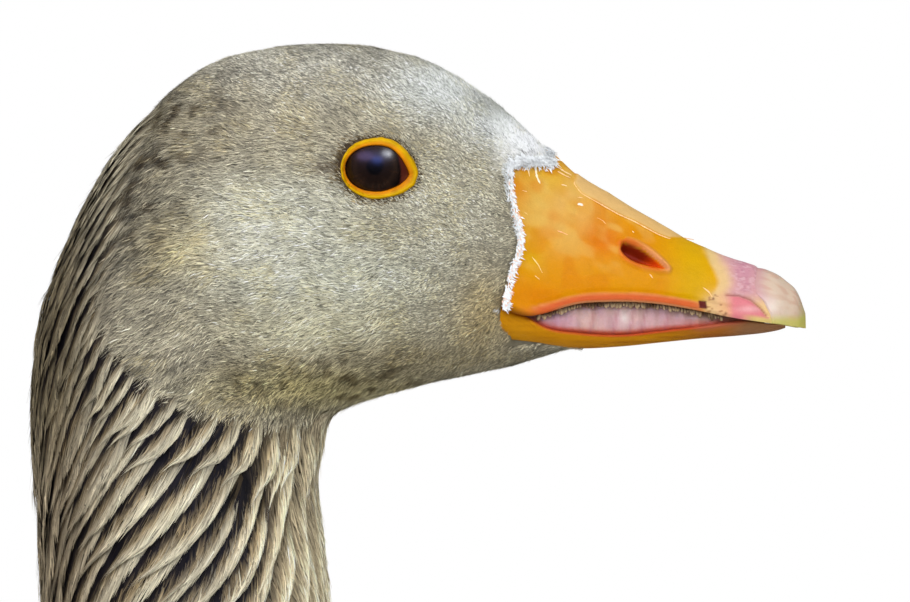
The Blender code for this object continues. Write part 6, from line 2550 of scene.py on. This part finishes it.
# %% The foot's height and its mesh
def foot_height(x, y, far):
    """Height, and how much of a toe's ridge a point is."""
    ridge, on_toe, pads = 0 * x, 0 * x, 0 * x
    for angle, length in TOES:
        turn = math.radians(angle)
        off = np.abs(-x * math.sin(turn) + y * math.cos(turn)) / TOE_HALF
        along = x * math.cos(turn) + y * math.sin(turn)
        done = np.minimum(far / length, 1)
        body = np.exp(-1.3 * off**2)
        knuckles = 0.35 * np.cos(along / length * 2 * math.pi * 3.2)
        tall = TOE_HEIGHT * (1 - 0.25 * done - 0.2 * done**6) + knuckles * ramp(6, 20, far)
        height = tall * body
        plate = plates(along + 0.4 * off**2, 2.7) * ramp(1.0, 0.6, off) * ramp(8, 14, far)
        pads = np.maximum(pads, plate * (height > ridge))
        ridge = np.maximum(ridge, height)
        on_toe = np.maximum(on_toe, body)
    heel = 1.6 * HEEL_HIGH * np.exp(-((np.hypot(x, y) / 10.5) ** 2))
    return np.minimum(WEB_THICK + np.maximum(ridge, heel), HEEL_HIGH), on_toe, pads


def foot(side):
    plan = foot_plan()
    x, y, far = np.moveaxis(plan, -1, 0)
    height, on_toe, pads = foot_height(x, y, far)
    skin_scales = scales(x, y, 1.7) * (1 - pads)
    wrinkle = drift(np.stack([x / 7, y / 1.3, 0 * x], axis=-1), 1.0, 121)
    web = ramp(0.5, 0.15, on_toe)
    height = height + 0.30 * pads + 0.16 * skin_scales - 0.3 + 0.35 * web * (wrinkle - 0.5)
    top = np.stack([x, -side * y, np.maximum(height, 0.5)], axis=-1)
    sole = top * (1, 1, 0) + (0, 0, 0.02)
    rows, wide = x.shape
    place = HIP + (ANKLE[0], side * ANKLE[1], 0)
    points = np.concatenate([top.reshape(-1, 3), sole.reshape(-1, 3)]) + place
    upper = tube_faces(rows, wide, closed=False)
    index = np.arange(rows * wide).reshape(rows, wide)
    rim = np.concatenate([index[0], index[1:, -1], index[-1, -2::-1], index[-2:0:-1, 0]])
    after = np.roll(rim, -1)
    skirt = np.stack([rim, after, after + rows * wide, rim + rows * wide], axis=-1)
    faces = np.concatenate([upper, upper[:, ::-1] + rows * wide, skirt])
    data = facing_out(mesh_of("foot", points, faces))
    colour = glazed(top, (208, 114, 32), [
        ((214, 128, 52), 0.6 * on_toe),
        # painted shade: darker in the creases between scales and pads
        ((158, 78, 24), 0.75 * (1 - np.maximum(pads, skin_scales))),
    ])
    paint(data, np.concatenate([colour.reshape(-1, 3)] * 2))
    return data


for name, side in SIDES:
    piece(f"webbed_foot_{name}", foot(side), LEG_STUFF, [f"foot_{name}"])

# %% [markdown]
# The hind toe is short and held off the ground. It and the blunt claws are tapered tubes that
# bend down towards the tip, each over its own solid.

# %% Hind toes and claws
def bent_tube(start, end, radii, drop, rows, around, scaly=0.0):
    """Rings of a tube from start to end whose radii follow a short list."""
    share = np.linspace(0, 1, rows)[:, None]
    centre = start * (1 - share) + end * share - np.array((0, 0, 1.0)) * drop * share**2
    way = unit(np.gradient(centre, axis=0))
    wide = unit(np.cross(way, np.array((0.0, 0, 1))))
    up = np.cross(wide, way)
    turn = np.linspace(0, 2 * math.pi, around, endpoint=False)
    radius = np.interp(share[:, 0], np.linspace(0, 1, len(radii)), radii)[:, None, None]
    length = np.linalg.norm(end - start)
    side, top = np.cos(turn)[None, :, None], np.sin(turn)[None, :, None]
    relief = scaly * plates(share * length, 2.2)[:, :, None] * ramp(-0.2, 0.5, top)
    ring = wide[:, None] * 0.88 * side + up[:, None] * top
    return centre[:, None] + ring * (radius + relief)


def claws_of(side):
    out = []
    for angle, length in TOES:
        turn = math.radians(-side * angle)
        way = np.array((math.cos(turn), math.sin(turn), 0.0))
        root = np.array((ANKLE[0], side * ANKLE[1], 2.5)) + way * (length - 0.6)
        out.append(bent_tube(root, root + way * 9.4, (2.2, 1.9, 1.3, 0.35), 1.4, 22, 20))
    tip = np.array((ANKLE[0] - 23.0, side * (ANKLE[1] - 12.5), 4.4))
    way = unit(np.array((-13.5, side * -3.9, -10.6)))
    end = tip + way * 4.8 + (0, 0, -0.4)
    out.append(bent_tube(tip - way * 0.6, end, (1.8, 1.5, 1.0, 0.3), 0.6, 18, 18))
    return out


def claw_tone(p, start):
    out = np.linalg.norm(p - start, axis=-1)
    return glazed(p, (62, 54, 48), [((150, 128, 104), 0.6 * ramp(5.0, 9.0, out))])


CLAW_STUFF = tinted(
    "claw_horn", 0.35, (400.0, 2500.0, 0.2), (2500.0, 500.0, 0.8, 0.0001, 0.4)
)
for name, side in SIDES:
    heel = np.array((ANKLE[0], side * ANKLE[1], 0))
    root, tip = heel + (-4.5, -4.2 * side, 17.0), heel + (-23.0, -12.5 * side, 4.4)
    toe = closed_tube("hind_toe", bent_tube(root, tip, (3.4, 3.0, 2.7, 2.3), 0, 60, 36, 0.3) + HIP)
    at = points_of(toe)
    paint(toe, glazed(at, (204, 112, 34), [((160, 80, 26), 0.6 * drift(at, 1.2, 131))]))
    piece(f"hind_toe_scaly_{name}", toe, LEG_STUFF, [f"hind_toe_{name}"])
    for label, rings in zip(("outer", "middle", "inner", "hind"), claws_of(side)):
        claw = closed_tube("claw", rings + HIP)
        paint(claw, claw_tone(points_of(claw), rings[0].mean(axis=0) + HIP))
        piece(f"horn_claw_{name}_{label}", claw, CLAW_STUFF, [f"claw_{name}_{label}"])

# %% [markdown]
# ## Studio
# A pale floor, a pale surround that is bright above and dimmer below, one broad soft lamp high
# on the bird's right and a weak one from behind it. Five more lamps light nothing. They only
# show as reflections, as open sky and a window would, on the wet eye and the glossy bill.

# %% Floor and lights
def plain(name, colour, roughness):
    made = bpy.data.materials.new(name)
    made.use_nodes = True
    shader = made.node_tree.nodes["Principled BSDF"]
    give(made.node_tree, shader, {"Base Color": (*colour, 1), "Roughness": roughness})
    return made


FLOOR_SIZE = 14.0
corners = ((-1, -1, 0), (1, -1, 0), (1, 1, 0), (-1, 1, 0))
floor_data = bpy.data.meshes.new("studio_floor")
floor_data.from_pydata([Vector(c) * FLOOR_SIZE for c in corners], [], [(0, 1, 2, 3)])
floor_data.materials.append(plain("pale_floor", (0.82, 0.82, 0.82), 0.9))
floor_piece = placed("studio_floor", floor_data)
floor_piece.visible_glossy = False


def lamp(name, place, power, wide, high, colour=(1, 1, 1), lights=True, mirrored=True):
    """An oval lamp that faces the eye. It lights the coat, shows as a reflection, or both."""
    data = bpy.data.lights.new(name, "AREA")
    data.shape = "ELLIPSE"
    data.energy, data.size, data.size_y, data.color = power, wide, high, colour
    made = placed(name, data)
    made.location = EYE + Vector(place)
    made.rotation_euler = (EYE - made.location).to_track_quat("-Z", "Y").to_euler()
    made.visible_camera = False
    made.visible_diffuse, made.visible_glossy = lights, mirrored


lamp("key_light", (0.0, -1.3, 0.95), 24.0, 2.9, 0.85, (0.98, 0.98, 1.0), mirrored=False)
lamp("fill_light", (-1.3, -1.2, 0.1), 3.5, 1.2, 1.2, (1.0, 0.98, 0.95), mirrored=False)
lamp("open_sky", (-0.1, -1.3, 0.82), 7.0, 2.6, 0.7, (0.5, 0.5, 1.0), lights=False)
lamp("violet_sky", (-0.75, -1.2, 0.82), 6.0, 1.3, 0.6, (0.6, 0.4, 1.0), lights=False)
lamp("blue_sky", (0.03, -1.5, 0.6), 6.0, 0.75, 0.5, (0.15, 0.25, 1.0), lights=False)
lamp("window", (0.6, -1.1, 0.92), 10.0, 0.6, 0.42, (0.85, 0.9, 1.0), lights=False)
lamp("glint", (0.75, -1.1, 0.9), 2.5, 0.12, 0.12, lights=False)


def make_surround():
    """Bright above and dimmer below, dimmer still in reflections, and plain white behind."""
    world = bpy.data.worlds.new("surround")
    bpy.context.scene.world = world
    world.use_nodes = True
    tree = world.node_tree
    where = tree.nodes.new("ShaderNodeTexCoord").outputs["Generated"]
    seen = tree.nodes.new("ShaderNodeLightPath").outputs
    high = node_in(tree, "ShaderNodeSeparateXYZ", {0: where}).outputs["Z"]
    span = node_in(tree, "ShaderNodeMapRange", {
        "Value": high, "From Min": -0.3, "From Max": 0.7, "To Min": 0.2, "To Max": 0.95,
    })
    dim = {0: seen["Is Glossy Ray"], 1: -0.85, 2: 1.0}
    dim = node_in(tree, "ShaderNodeMath", dim, "MULTIPLY_ADD").outputs[0]
    sky = give(tree, tree.nodes["Background"], {
        "Color": (0.93, 0.96, 1.0, 1),
        "Strength": maths(tree, "MULTIPLY", span.outputs["Result"], dim),
    })
    white = node_in(tree, "ShaderNodeBackground", {"Color": (1, 1, 1, 1)})
    pick = node_in(tree, "ShaderNodeMixShader", {
        0: seen["Is Camera Ray"], 1: sky.outputs[0], 2: white.outputs[0],
    })
    give(tree, tree.nodes["World Output"], {"Surface": pick.outputs[0]})


make_surround()
bpy.context.scene.view_settings.view_transform = "Standard"
print("lamps", len(bpy.data.lights))
